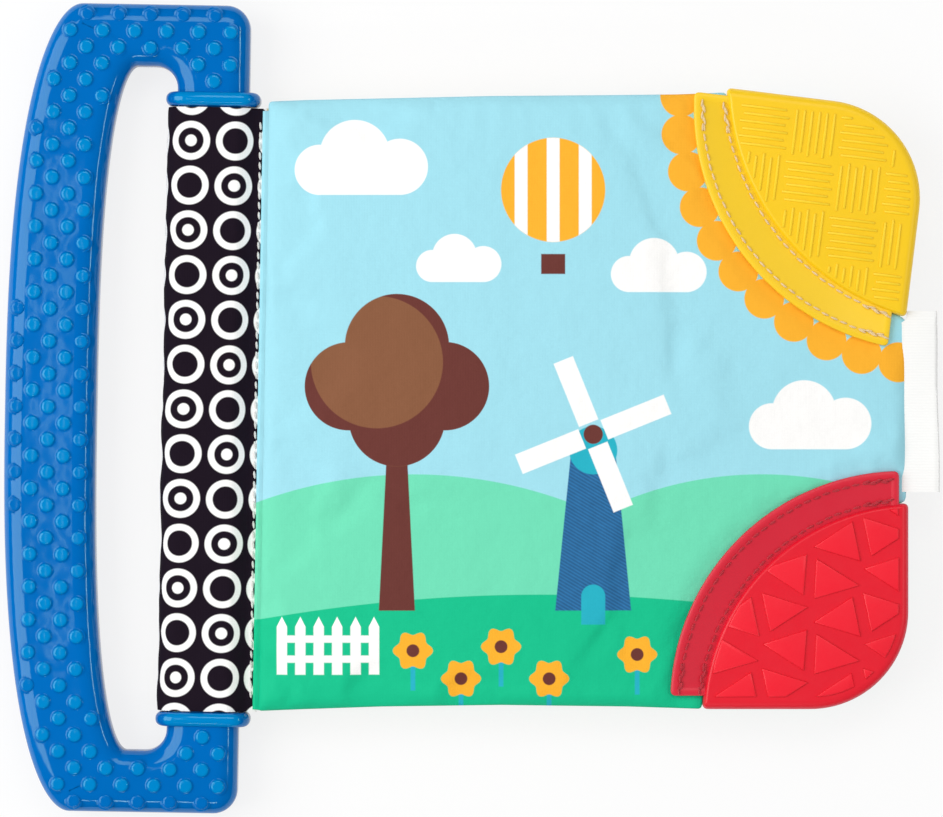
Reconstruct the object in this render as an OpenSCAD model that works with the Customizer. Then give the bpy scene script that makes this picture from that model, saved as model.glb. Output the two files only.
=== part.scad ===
// Cloth book for a baby: padded covers and leaves, a moulded grip handle whose shaft runs
// through a printed cloth sleeve at the spine, and two chewable corners sewn to the front cover.
// Millimetres. The book lies on its back cover. +X runs from the handle to the free edge,
// +Y runs up the spine and +Z comes out of the front cover. The origin is under the middle
// of the whole object, on the surface that it lies on.
// The block frame has its origin half way up the spine's seam. The spine frame has the same
// origin and leans a little, as a soft book's spine does, with the seam along its y axis.

/* [Handle] */
// Height of the handle along the spine
handle_h = 202.8; // [190:0.2:220]
// Distance from the spine seam to the handle's outer edge
handle_reach = 64.5; // [60:0.5:75]
// Width of the grip at its middle
grip_w = 22.9; // [20:0.1:25]
// Thickness of the moulded bar
handle_t = 12.6; // [10:0.2:14]
// Height of the opening for the hand
opening_h = 171.8; // [166:0.2:175]
// How far the outer edge bows out
outer_bow = 18; // [14:0.5:20]
// How far the opening's edge bows out
inner_bow = 9; // [6:0.5:11]
// Outer corner radius at the spine side
outer_corner_r = 6; // [3:0.5:8]
// Opening's corner radius at the spine side
inner_corner_r = 5.5; // [3:0.5:8]
// Radius of the bar's rounded edge
edge_r = 4.2; // [2:0.1:4.8]

/* [Handle shaft and collars] */
// Width of the arms and of the shaft in the sleeve
shaft_w = 18; // [14:0.5:19]
// Thickness of the shaft in the sleeve
shaft_t = 9.4; // [7:0.2:10]
// Corner radius of the shaft's section
shaft_r = 3.5; // [1:0.5:4]
// Gap between the shaft and the spine seam
shaft_gap = 4.5; // [4.2:0.1:5.5]
// Width of each collar
collar_w = 23.7; // [21:0.1:25]
// Depth of each collar, front to back
collar_d = 15; // [14.4:0.2:15.4]
// Thickness of each collar along the spine
collar_t = 3.6; // [2.5:0.1:5]
// Distance between the collars
collar_span = 151.8; // [146:0.2:158]

/* [Bumps] */
// Diameter of a bump's foot
bump_d = 3.8; // [2.5:0.1:4.4]
// Height of a bump
bump_h = 0.6; // [0.3:0.1:0.6]
// Bump spacing across the grip, from one staggered row to the next but one
bump_pitch_x = 8; // [7:0.1:12]
// Bump spacing along the grip, from one staggered row to the next but one
bump_pitch_y = 8.2; // [7:0.1:12]
// Least distance from a bump's centre to an edge
bump_margin = 2.8; // [2.6:0.1:4]

/* [Spine sleeve] */
// How far the sleeve reaches from the seam
sleeve_reach = 24.9; // [24:0.1:26]
// Thickness of the sleeve, front to back
sleeve_t = 11.8; // [11.4:0.1:12.6]
// Thickness of the sleeve's cloth
sleeve_cloth = 0.9; // [0.5:0.05:0.9]
// Radius of the sleeve's rounded fold
sleeve_r = 4.6; // [3:0.1:5.4]
// Outer diameter of a printed ring
ring_d = 9.6; // [6:0.1:10]
// Width of a printed ring's line
ring_line = 1.9; // [1:0.1:2.4]
// Diameter of the dot in every second ring
ring_dot_d = 3.1; // [2:0.1:4]
// Spacing of the printed rings
ring_pitch = 11.2; // [11:0.1:16]

/* [Cloth block] */
// Width of the covers, from the seam to the free edge
cover_w = 161; // [150:1:175]
// Reach of the covers below the middle of the spine
cover_down = 74.5; // [72:0.1:75]
// Reach of the covers above the middle of the spine, at the seam
cover_up = 76.7; // [74:0.1:78]
// Rise of the top edge towards the free edge
cover_rise = 2.8; // [0:0.1:4]
// Thickness of a padded cover
cover_t = 4; // [3.6:0.1:4.6]
// Thickness of the cloth over the padding
cover_cloth = 0.6; // [0.4:0.05:0.8]
// Thickness of one inner leaf
leaf_t = 2.7; // [2:0.1:3]
// Corner radius of the inner leaves and the back cover
leaf_corner_r = 24; // [10:1:30]
// How far the inner leaves stay behind the covers' edges
leaf_inset = 0.9; // [0.5:0.1:3]
// Lean of the spine against the cloth block, in degrees
spine_lean = 1; // [0:0.1:1.2]

/* [Chewable corners] */
// Length of each straight side
corner_side = 51.5; // [46:0.5:55]
// Radius of the outer corner
corner_r = 24.5; // [16:0.5:30]
// Thickness of the chewable body
corner_t = 5.8; // [4.6:0.1:5.8]
// Radius of the chewable body's rounded edge
corner_edge_r = 2.2; // [1:0.1:2.6]
// Thickness of each of the two flanges
flange_t = 1.5; // [1:0.1:1.5]
// Width of the flanges at their ends
flange_w = 8; // [7:0.1:10]
// Distance from the flanges' ends to the cover's edge
flange_end = 3.4; // [2:0.1:6]
// Radius of the yellow body's inner arc
yellow_arc_r = 61.5; // [56:0.5:66]
// Radius of the yellow flanges' arc
yellow_flange_r = 60.7; // [56:0.1:66]
// Turn of the yellow corner, clockwise, in degrees
yellow_turn = 7; // [0:0.5:8]
// Radius of the red body's inner arc
red_arc_r = 53.5; // [50:0.5:60]
// Radius of the red flanges' arc
red_flange_r = 58; // [54:0.5:64]
// Height of the raised pattern on both corners
relief_h = 0.5; // [0.2:0.1:0.6]
// Size of one tile of the woven pattern
weave_tile = 12.4; // [10:0.2:16]
// Width of one ridge of the woven pattern
weave_ridge = 0.9; // [0.6:0.1:1.4]

/* [Label and thread] */
// Height of the sewn-in label
label_h = 43.4; // [20:0.2:43.4]
// Reach of the label beyond the cover's edge
label_reach = 8.7; // [4:0.1:14]
// Thickness of the folded label
label_t = 0.8; // [0.6:0.1:1.2]
// Height of the label's middle above the middle of the spine
label_up = 1.1; // [-1:0.1:1.1]
// Thickness of the sewing thread
thread_d = 0.4; // [0.2:0.05:0.5]
// Length of one stitch
stitch_l = 1.9; // [1.2:0.1:2.2]
// Distance between stitches, start to start
stitch_pitch = 2.6; // [2.5:0.1:4.5]

/* [Hidden] */

// Clearance between cloth and what it moves against
gap = 0.3;
// Height of a printed field on its cloth
ink = 0.15;
// Width of the sewn hem round a padded cover
hem = 1.6;
// Gap between the seam line and the covers
hem_gap = 0.5;
// Reach of the page block's tongue between the sleeve's tails
tongue = 3;
// Distance from the seam at which the sleeve reaches its full thickness
shoulder = 7;
// Width of one stitch
stitch_w = 0.8;
// Width of the label that the hem holds
label_caught = 1.2;
// Cover width that the picture's places and sizes are given for
picture_w = 161;
picture_scale = cover_w / picture_w;

// Heights in the stack
pages_low = cover_t + gap;
pages_top = pages_low + 2 * leaf_t + gap;
corner_stand = relief_h + (corner_t - cover_t) / 2;
front_low = pages_top + gap + max(sleeve_cloth, corner_stand);
front_mid = front_low + cover_t / 2;
front_top = front_low + cover_t;
handle_mid = collar_d / 2;
sleeve_low = handle_mid - sleeve_t / 2;
sleeve_top = handle_mid + sleeve_t / 2;
tail_low = pages_low - sleeve_cloth;
tail_top = pages_top + sleeve_cloth;
sleeve_l = collar_span - 2 * gap;
// Half of the cloth's thickness between a chewable corner's flanges
slot_half = cover_t / 2 - flange_t;

// Handle in the spine frame
bar_right = -shaft_gap;
bar_left = bar_right - shaft_w;
bar_middle = (bar_left + bar_right) / 2;
collar_out = collar_span / 2 + collar_t;
first_bump = 3.25;
bump_sink = 0.3;
outer_exponent = 2.57;
inner_exponent = 2.75;
bow_steps = 44;

// Whole object's middle, found from its outermost points
leaned_outline = [
    for (p = outer_contour())
        [p.x * cos(spine_lean) + p.y * sin(spine_lean), p.y * cos(spine_lean) - p.x * sin(spine_lean)]
];
most_left = min([for (p = leaned_outline) p.x]);
most_low = min([for (p = leaned_outline) p.y]);
most_high = max([for (p = leaned_outline) p.y]);
middle = [(most_left + cover_w + label_reach) / 2, (most_low + most_high) / 2];

// Places of the chewable corners' own centres in the block frame
yellow_out = [3.7, -2];
red_out = [0.3, 0.2];
yellow_centre = [cover_w + yellow_out.x - corner_r, cover_up + cover_rise + yellow_out.y - corner_r];
red_centre = [cover_w + red_out.x - corner_r, -cover_down - red_out.y + corner_r];
// Distance that a row of stitches stops before a chewable corner's straight sides
row_end = 6;
// Margin of bare rubber round the raised patterns
relief_margin = 0.6;

// PLANE GEOMETRY

function unit(v) = v / norm(v);
function left_normal(a, b) = let (d = unit(b - a)) [-d.y, d.x];
function reversed(list) = [for (i = [len(list) - 1:-1:0]) list[i]];

// Points of an arc about c, from one angle to another
function arc(c, r, from, to, steps) =
    [for (i = [0:steps]) let (a = from + (to - from) * i / steps) c + r * [cos(a), sin(a)]];

// A closed anticlockwise loop moved inwards by e
function inset_loop(loop, e) = let (n = len(loop)) [
    for (i = [0:n - 1])
        let (before = left_normal(loop[(i + n - 1) % n], loop[i]),
             after = left_normal(loop[i], loop[(i + 1) % n]))
        loop[i] + e * (before + after) / (1 + before * after)
];

// Anticlockwise rectangle with round corners
function rounded(low, high, r, steps) = concat(
    arc([high.x - r, low.y + r], r, -90, 0, steps),
    arc([high.x - r, high.y - r], r, 0, 90, steps),
    arc([low.x + r, high.y - r], r, 90, 180, steps),
    arc([low.x + r, low.y + r], r, 180, 270, steps)
);

// Least distance from a point to a closed loop
function to_segment(p, a, b) =
    let (d = b - a, t = max(0, min(1, (p - a) * d / (d * d)))) norm(p - a - t * d);
function to_loop(p, loop) =
    min([for (i = [0:len(loop) - 1]) to_segment(p, loop[i], loop[(i + 1) % len(loop)])]);
function crossings(p, loop) = [
    for (i = [0:len(loop) - 1])
        let (a = loop[i], b = loop[(i + 1) % len(loop)])
        if ((a.y > p.y) != (b.y > p.y) && p.x < (b.x - a.x) * (p.y - a.y) / (b.y - a.y) + a.x) 1
];
function inside(p, loop) = len(crossings(p, loop)) % 2 == 1;

// SOLIDS FROM LOOPS

// Levels, as [inset, height], of a slab about z = 0 with a round edge
function round_levels(t, r, steps) = let (
    upper = [for (i = [0:steps]) let (a = 90 * i / steps) [r * (1 - cos(a)), t / 2 - r * (1 - sin(a))]]
) concat([for (v = reversed(upper)) [v[0], -v[1]]], upper);

// Solid stacked from one convex closed loop
module slab_solid(loop, levels) {
    n = len(loop);
    last = len(levels) - 1;
    points = [for (v = levels) for (p = inset_loop(loop, v[0])) [p.x, p.y, v[1]]];
    walls = [
        for (k = [0:last - 1]) for (i = [0:n - 1])
            [k * n + i, (k + 1) * n + i, (k + 1) * n + (i + 1) % n, k * n + (i + 1) % n]
    ];
    caps = [[for (i = [0:n - 1]) i], [for (i = [n - 1:-1:0]) last * n + i]];
    polyhedron(points, concat(walls, caps));
}

// Solid stacked from an outer and an inner closed loop of as many points
module ring_solid(outer, inner, levels) {
    n = len(outer);
    m = 2 * n;
    last = len(levels) - 1;
    points = [
        for (v = levels) each concat(
            [for (p = inset_loop(outer, v[0])) [p.x, p.y, v[1]]],
            [for (p = inset_loop(inner, -v[0])) [p.x, p.y, v[1]]]
        )
    ];
    walls = [
        for (k = [0:last - 1]) for (i = [0:n - 1])
            let (j = (i + 1) % n, a = k * m, b = (k + 1) * m)
            each [[a + i, b + i, b + j, a + j], [a + n + i, a + n + j, b + n + j, b + n + i]]
    ];
    caps = [
        for (i = [0:n - 1])
            let (j = (i + 1) % n, t = last * m)
            each [[i, j, n + j, n + i], [t + i, t + n + i, t + n + j, t + j]]
    ];
    polyhedron(points, concat(walls, caps));
}

// Plate between two heights
module plate(low, high) translate([0, 0, low]) linear_extrude(high - low) children();

// From the block frame, and from the spine frame, to the whole object's frame
module on_block() translate([-middle.x, -middle.y, 0]) children();
module on_spine() on_block() rotate(-spine_lean) children();

// Extrudes a section drawn in x and z along the spine
module along_spine(length) rotate([90, 0, 0]) linear_extrude(length, center = true) children();

// HANDLE

// Half of a bowed outline, from its top to its bottom round the left side
function bow(x_left, depth, half_h, exponent) = [
    for (i = [0:bow_steps])
        let (t = 90 - 180 * i / bow_steps, s = sin(t))
        [x_left + depth * (1 - cos(t)), half_h * sign(s) * pow(abs(s), 2 / exponent)]
];
// Anticlockwise outline with a bowed left side and two round corners at the right
function contour(x_right, x_left, depth, half_h, r, exponent) = concat(
    arc([x_right - r, r - half_h], r, -90, 0, 8),
    arc([x_right - r, half_h - r], r, 0, 90, 8),
    bow(x_left, depth, half_h, exponent)
);
function outer_contour() =
    contour(bar_right, -handle_reach, outer_bow, handle_h / 2, outer_corner_r, outer_exponent);
function inner_contour() =
    contour(bar_left, grip_w - handle_reach, inner_bow, opening_h / 2, inner_corner_r, inner_exponent);

// Bump centres: a staggered lattice, kept where a whole bump has room
bump_points = let (
    outer = outer_contour(),
    inner = inner_contour(),
    rows = floor(handle_h / bump_pitch_y) + 1,
    columns = ceil(handle_reach / bump_pitch_x * 2)
) [
    for (j = [-rows:rows]) for (i = [0:columns])
        let (p = [first_bump - handle_reach + i * bump_pitch_x / 2, j * bump_pitch_y / 2])
        if ((i + j + 2 * rows) % 2 == 0
            && inside(p, outer) && !inside(p, inner)
            && to_loop(p, outer) > bump_margin && to_loop(p, inner) > bump_margin
            && (p.x < bar_left - bump_margin || abs(p.y) > collar_out + bump_margin)) p
];

// One low bump on the face z = 0, with its foot sunk below it
module bump() {
    waist_d = bump_d * 0.86;
    translate([0, 0, -bump_sink]) cylinder(h = bump_sink + bump_h / 2, d1 = bump_d, d2 = waist_d, $fn = 24);
    translate([0, 0, bump_h / 2]) cylinder(h = bump_h / 2, d1 = waist_d, d2 = bump_d / 2, $fn = 24);
}

// The bar, open at the spine side where the collars and the shaft take over
module handle_bar() difference() {
    ring_solid(outer_contour(), inner_contour(), round_levels(handle_t, edge_r, 3));
    beyond = shaft_w / 4;
    translate([bar_left - beyond, -collar_span / 2 - collar_t / 2, -handle_t])
        cube([shaft_w + 2 * beyond, collar_span + collar_t, 2 * handle_t]);
}

// A cushion-shaped stop across the spine
module collar() translate([bar_middle, 0, 0]) rotate([90, 0, 0])
    slab_solid(
        rounded([-collar_w / 2, -collar_d / 2], [collar_w / 2, collar_d / 2], collar_d / 3, 5),
        round_levels(collar_t, collar_t * 0.45, 3)
    );

module shaft() translate([bar_middle, 0, 0]) along_spine(collar_span + collar_t)
    polygon(rounded([-shaft_w / 2, -shaft_t / 2], [shaft_w / 2, shaft_t / 2], shaft_r, 6));

module handle() color("#0A6FC8") on_spine() translate([0, 0, handle_mid]) {
    handle_bar();
    for (side = [-1, 1]) translate([0, side * (collar_span + collar_t) / 2, 0]) collar();
    shaft();
    for (p = bump_points) for (face = [0, 1])
        mirror([0, 0, face]) translate([p.x, p.y, handle_t / 2]) bump();
}

// SPINE SLEEVE

// Outer section of the sleeve in x and z, anticlockwise, grown by e
function sleeve_loop(e) = let (
    left = -sleeve_reach - e,
    low = sleeve_low - e,
    high = sleeve_top + e,
    r = sleeve_r + e
) concat(
    [[0, tail_low - e], [0, tail_top + e], [-tongue, tail_top + e], [-shoulder, high]],
    arc([left + r, high - r], r, 90, 180, 6),
    arc([left + r, low + r], r, 180, 270, 6),
    [[-shoulder, low], [-tongue, tail_low - e]]
);

// One strip of cloth folded round the shaft, with its two tails sewn to the leaves
module spine_sleeve() color("#1D1B26") on_spine() along_spine(sleeve_l) difference() {
    polygon(sleeve_loop(0));
    polygon(sleeve_loop(-sleeve_cloth));
    translate([-tongue - 1, pages_low]) square([tongue + 2, pages_top - pages_low]);
}

// Rings in a checkerboard, every second one with a dot
module ring_pattern() {
    rows = ceil(sleeve_l / ring_pitch / 2);
    first_x = -sleeve_reach + ring_d / 2 + 0.6;
    for (row = [-rows:rows])
    for (column = [-1:2])
    translate([first_x + column * ring_pitch, row * ring_pitch]) {
        difference() {
            circle(d = ring_d, $fn = 32);
            circle(d = ring_d - 2 * ring_line, $fn = 32);
        }
        if ((row + column + 2 * rows + 2) % 2 == 0) circle(d = ring_dot_d, $fn = 24);
    }
}

// The print, a thin skin on the sleeve's two faces and over its fold
module sleeve_print() color("#F1EEEA") on_spine() intersection() {
    plate(sleeve_low - 1, sleeve_top + 1) intersection() {
        ring_pattern();
        translate([-sleeve_reach - 1, -sleeve_l / 2]) square([sleeve_reach + 1 - tongue, sleeve_l]);
    }
    along_spine(sleeve_l) difference() {
        polygon(sleeve_loop(ink));
        polygon(sleeve_loop(0));
    }
}

// A flat dash of thread
module stitch()
    polygon(rounded([-stitch_l / 2, -stitch_w / 2], [stitch_l / 2, stitch_w / 2], stitch_w / 3, 1));

// The seam's thread, on the outside of both tails
module spine_thread() color("#EFECE4") on_spine() {
    count = floor((sleeve_l - 2 * stitch_pitch) / stitch_pitch);
    for (low = [tail_low - thread_d, tail_top]) plate(low, low + thread_d)
        for (i = [0:count - 1])
            translate([-tongue / 2, (i - (count - 1) / 2) * stitch_pitch]) rotate(90) stitch();
}

// CLOTH BLOCK

// Point on the seam line at the height y, moved right by x
function seam_point(y, x) = [y * tan(spine_lean) + x, y];

// Anticlockwise outline of the cloth, moved inwards by e, with corners of radius r at the free edge
function cloth_loop(e, r) = let (
    right = cover_w - e,
    low = e - cover_down,
    high = cover_up + cover_rise - e
) concat(
    [seam_point(low, hem_gap + e)],
    arc([right - r, low + r], r, -90, 0, 8),
    arc([right - r, high - r], r, 0, 90, 8),
    [seam_point(high - cover_rise, hem_gap + e)]
);

// Outline of the leaves with the tongue that the sleeve's tails are sewn to
function leaf_loop() = let (
    cloth = cloth_loop(leaf_inset, leaf_corner_r),
    low = cloth[0].y
) concat(
    [seam_point(low, -tongue)],
    [for (i = [1:len(cloth) - 1]) cloth[i]],
    [seam_point(-low, hem_gap + leaf_inset), seam_point(-low, -tongue)]
);

// Two padded leaves that run into one tongue at the spine
module page_block() color("#F3E3B8") on_block() difference() {
    plate(pages_low, pages_top) polygon(leaf_loop());
    plate(pages_low + leaf_t, pages_low + leaf_t + gap) {
        split = tongue + hem_gap;
        far = 2 * cover_up;
        polygon([seam_point(-far, split), [2 * cover_w, -far], [2 * cover_w, far], seam_point(far, split)]);
    }
}

// Back cover's outline
module back_shape(e) polygon(cloth_loop(e, leaf_corner_r - e));

// Front cover's outline, cut back along the chewable corners
module front_shape(e) difference() {
    polygon(cloth_loop(e, corner_r));
    at_yellow() corner_disc(corner_side, yellow_arc_r, e);
    at_red() corner_disc(corner_side, red_arc_r, e);
}
// The front cover's padding also stops before the flanges
module front_padding_shape() difference() {
    front_shape(hem);
    at_yellow() corner_disc(corner_side + flange_w, yellow_flange_r, hem);
    at_red() corner_disc(corner_side + flange_w, red_flange_r, hem);
}

// One cloth of a cover with the hem's thickness, hollow for the padding. The first child is the
// outline and the second is the padding's outline. It is drawn above z = 0.
module cover_cloth_tray() difference() {
    plate(0, cover_t / 2) children(0);
    plate(-1, cover_t / 2 - cover_cloth) children(1);
}
module cover_pad() plate(cover_cloth - cover_t / 2, cover_t / 2 - cover_cloth) children();

module back_cover_face() color("#2F6FB4") on_block() translate([0, 0, cover_t / 2]) mirror([0, 0, 1])
    cover_cloth_tray() {
        back_shape(0);
        back_shape(hem);
    }
module back_cover_lining() color("#F0C84B") on_block() translate([0, 0, cover_t / 2])
    cover_cloth_tray() {
        back_shape(0);
        back_shape(hem);
    }
module back_cover_padding() color("#F7F5EF") on_block() translate([0, 0, cover_t / 2])
    cover_pad() back_shape(hem);

// One cloth of the front cover, with room for the flanges and the label
module front_cover_cloth() difference() {
    cover_cloth_tray() {
        front_shape(0);
        front_padding_shape();
    }
    plate(slot_half, cover_t) {
        at_yellow() flange_shape(yellow_arc_r, yellow_flange_r, gap / 2);
        at_red() flange_shape(red_arc_r, red_flange_r, gap / 2);
    }
    label_slab();
}
module front_cover_face() color("#A5E0EE") on_block() translate([0, 0, front_mid]) front_cover_cloth();
module front_cover_lining() color("#F2C9A0") on_block() translate([0, 0, front_mid])
    mirror([0, 0, 1]) front_cover_cloth();
module front_cover_padding() color("#F7F5EF") on_block() translate([0, 0, front_mid])
    cover_pad() front_padding_shape();

// Folded tape caught in the hem of the free edge, about z = 0
module label_slab() translate([cover_w - label_caught, label_up, 0]) rotate([90, 0, 0])
    linear_extrude(label_h, center = true)
        polygon(rounded([0, -label_t / 2], [label_reach + label_caught, label_t / 2], label_t * 0.4, 3));
module side_label() color("#F4F2EE") on_block() translate([0, 0, front_mid]) label_slab();

// CHEWABLE CORNERS

// Places what is drawn about a corner's own centre, with its sides towards -x and -y
module at_yellow() translate(yellow_centre) rotate(-yellow_turn) children();
module at_red() translate(red_centre) mirror([0, 1]) children();

// Place on the diagonal of the centre of an arc that cuts both straight sides at a given length
function arc_centre(length, r) =
    (corner_r + (sqrt(2 * r * r - length * length) - length) / 2) * [1, 1];

module corner_disc(length, r, grow) translate(arc_centre(length, r)) circle(r + grow, $fn = 120);

// Chewable body seen from the front, moved inwards by e: straight sides, a round outer corner
// and an inner arc
module corner_shape(arc_r, e) intersection() {
    corner_disc(corner_side, arc_r, -e);
    union() {
        circle(corner_r - e, $fn = 96);
        translate([-corner_side, -corner_side]) square([corner_side, corner_side + corner_r - e]);
        translate([-corner_side, -corner_side]) square([corner_side + corner_r - e, corner_side]);
    }
}

// One flange, from just inside the chewable body to the flange arc
module flange_shape(arc_r, flange_r, grow) {
    far = corner_r + corner_side + 2 * flange_w;
    difference() {
        intersection() {
            corner_disc(corner_side + flange_w, flange_r, grow);
            translate([-far, -far]) square(far + corner_r - flange_end + grow);
        }
        corner_disc(corner_side, arc_r, -corner_edge_r);
    }
}

// Stitches along an arc, inside the corner's straight sides
module arc_stitches(length, arc_r, shift) {
    c = arc_centre(length, arc_r);
    r = arc_r + shift;
    tilt = asin((corner_r - row_end - c.x) / r);
    sweep = 90 + 2 * tilt;
    count = floor(sweep * PI / 180 * r / stitch_pitch);
    for (i = [0:count - 1]) translate(c) rotate(180 - tilt + (i + 0.5) * sweep / count)
        translate([r, 0]) rotate(90) stitch();
}

// Section of a chewable body in a length and z, from one end to a round edge at the other
function edge_section(from, to) = let (r = corner_edge_r, h = corner_t / 2) concat(
    [[from, -h]],
    arc([to - r, r - h], r, -90, 0, 4),
    arc([to - r, h - r], r, 0, 90, 4),
    [[from, h]]
);

// Square with one round corner, cut by a disc, and round along every edge
module corner_blank(arc_r) intersection() {
    far = corner_side;
    union() {
        rotate_extrude(angle = 90, $fn = 96) polygon(edge_section(0, corner_r));
        for (side = [0, 1]) mirror([side, -side, 0]) translate([-far, 0, 0]) rotate([90, 0, 90])
            linear_extrude(far) polygon(edge_section(-far, corner_r));
    }
    translate(arc_centre(corner_side, arc_r)) rotate_extrude($fn = 120) polygon(edge_section(0, arc_r));
}

// Drawn about z = 0 in the corner's own frame. The child is the raised pattern.
module chewable_corner(arc_r, flange_r) {
    corner_blank(arc_r);
    for (face = [0, 1]) mirror([0, 0, face]) {
        plate(slot_half, slot_half + flange_t) flange_shape(arc_r, flange_r, 0);
        plate(corner_t / 2 - relief_h, corner_t / 2 + relief_h) intersection() {
            corner_shape(arc_r, corner_edge_r + relief_margin);
            children();
        }
    }
}
// Two rows of thread on each flange
module corner_thread(arc_r, flange_r) for (face = [0, 1]) mirror([0, 0, face])
    plate(cover_t / 2, cover_t / 2 + thread_d) {
        arc_stitches(corner_side + flange_w, flange_r, -2.3);
        arc_stitches(corner_side, arc_r, 1.4);
    }

// Basket weave: square tiles of ridges that turn by a quarter from tile to tile, each second
// ridge a little shorter
module weave_pattern() {
    ridge_count = 6;
    ridge_pitch = weave_tile * 0.154;
    tiles = ceil((corner_side + corner_r) / weave_tile);
    for (i = [-tiles:1]) for (j = [-tiles:1])
        translate([(i + 0.5) * weave_tile, (j + 0.5) * weave_tile]) rotate(90 * abs((i + j) % 2))
            for (k = [0:ridge_count - 1])
                translate([0, (k + 0.5 - ridge_count / 2) * ridge_pitch])
                    square([weave_tile * (k % 2 == 0 ? 0.92 : 0.84), weave_ridge], center = true);
}

// Scattered triangles: four in a cell, as corner points
triangle_cell = [25.2, 18.8];
triangles = [
    [[0.6, 16.1], [10.3, 22.5], [12.4, 12.5]],
    [[1.3, 13.2], [12.2, 6.5], [0.8, 3.2]],
    [[-12.3, 4.7], [-0.7, 1.1], [-10.2, -5]],
    [[-12.1, -8.1], [-1, -4.5], [-1.8, -14.8]]
];
module triangle_pattern() mirror([0, 1])
    for (i = [-3:2]) for (j = [-3:3]) for (t = triangles)
        translate([i * triangle_cell.x, j * triangle_cell.y]) polygon(t);

module yellow_corner_teether() color("#FFD21E") on_block() translate([0, 0, front_mid]) at_yellow()
    chewable_corner(yellow_arc_r, yellow_flange_r) weave_pattern();
module yellow_corner_thread() color("#F2B35E") on_block() translate([0, 0, front_mid]) at_yellow()
    corner_thread(yellow_arc_r, yellow_flange_r);
module red_corner_teether() color("#E5243B") on_block() translate([0, 0, front_mid]) at_red()
    chewable_corner(red_arc_r, red_flange_r) triangle_pattern();
module red_corner_thread() color("#B3122B") on_block() translate([0, 0, front_mid]) at_red()
    corner_thread(red_arc_r, red_flange_r);

// PICTURE ON THE FRONT COVER

// Lays flat fields on the cover, inside the hem and clear of the chewable corners
module printed(colour) color(colour) on_block() plate(front_top, front_top + ink) difference() {
    intersection() {
        children();
        polygon(cloth_loop(hem, corner_r));
    }
    at_yellow() corner_disc(corner_side + flange_w, yellow_flange_r, gap);
    at_red() corner_disc(corner_side + flange_w, red_flange_r, gap);
}

tree_at = [34, -50];
mill_at = [83, -50];
mill_hub = mill_at + [0, 44];
balloon_at = [73, 55];
petal_r = 5;
petal_out = 3.4;

// Draws at the picture's own scale
module drawn() scale(picture_scale) children();

module cloud(at, size) translate(at) scale(size) {
    translate([-9, 0]) circle(5, $fn = 32);
    translate([-2, 3]) circle(7, $fn = 32);
    translate([7, 1]) circle(5.6, $fn = 32);
    translate([-9, -5]) square([16, 6]);
}
module clouds() drawn() {
    cloud([26, 60], 1.25);
    cloud([50, 36], 0.8);
    cloud([100, 34], 0.9);
    cloud([138, -4], 1.15);
}
module fence() drawn() for (i = [0:5]) translate([4 + i * 4.6, -66]) {
    polygon([[0, 0], [2.6, 0], [2.6, 12], [1.3, 14.5], [0, 12]]);
    if (i < 5) for (y = [3, 8]) translate([2.6, y]) square([2, 1.8]);
}
module sails() drawn() translate(mill_hub)
    for (a = [22, 112, 202, 292]) rotate(a) translate([3, -2.6]) square([17, 5.2]);
module balloon_stripes() drawn() intersection() {
    translate(balloon_at) circle(13, $fn = 48);
    translate(balloon_at) for (x = [-9.6, -1.6, 6.4]) translate([x, -14]) square([3.2, 28]);
}
module balloon() difference() {
    drawn() translate(balloon_at) circle(13, $fn = 48);
    balloon_stripes();
}
module petals() at_yellow() translate(arc_centre(corner_side + flange_w, yellow_flange_r))
    for (a = [176:8.4:276]) rotate(a)
        translate([yellow_flange_r + petal_out * picture_scale, 0])
        circle(petal_r * picture_scale, $fn = 32);
module flower(at) translate(at) for (k = [0:5]) rotate(60 * k) translate([3, 0]) circle(2, $fn = 24);
flower_places = [[38, -60], [50, -67], [60, -59], [72, -67], [94, -61]];
module flowers() drawn() for (at = flower_places) flower(at);
module flower_hearts() drawn() for (at = flower_places) translate(at) circle(1.6, $fn = 24);
module stems() drawn() for (at = flower_places) translate(at - [0.6, 10]) square([1.2, 8]);
module tree() drawn() translate(tree_at) {
    polygon([[-4.5, 0], [4.5, 0], [2.5, 40], [-2.5, 40]]);
    for (c = [[0, 66, 13], [-12, 56, 11], [12, 56, 11], [0, 48, 12]])
        translate([c.x, c.y]) circle(c.z, $fn = 40);
}
module basket() drawn() translate(balloon_at - [3, 21]) square([6, 5]);
module hub() drawn() translate(mill_hub) circle(2.4, $fn = 24);
module mill_tower() drawn() translate(mill_at)
    polygon([[-9.5, 0], [9.5, 0], [5.5, 40], [-5.5, 40]]);
module mill_door() drawn() translate(mill_at) {
    square([6, 7], center = true);
    translate([0, 3.5]) circle(3, $fn = 24);
}
module mill_cap() drawn() translate(mill_at + [0, 40]) circle(6, $fn = 32);
module ground() drawn() translate([70, -446]) circle(400, $fn = 180);
module hills() drawn() {
    translate([38, -128]) circle(112, $fn = 120);
    translate([125, -108]) circle(92, $fn = 120);
}

module white_fields() {
    difference() {
        clouds();
        sails();
    }
    sails();
    fence();
    balloon_stripes();
}
module teal_fields() {
    difference() {
        union() {
            mill_cap();
            mill_door();
        }
        sails();
        hub();
    }
    difference() {
        stems();
        flowers();
    }
}
module blue_fields() difference() {
    mill_tower();
    mill_door();
    mill_cap();
    sails();
    hub();
}
module orange_fields() {
    balloon();
    petals();
    difference() {
        flowers();
        flower_hearts();
    }
}
module brown_fields() {
    tree();
    basket();
    hub();
    flower_hearts();
}
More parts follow.
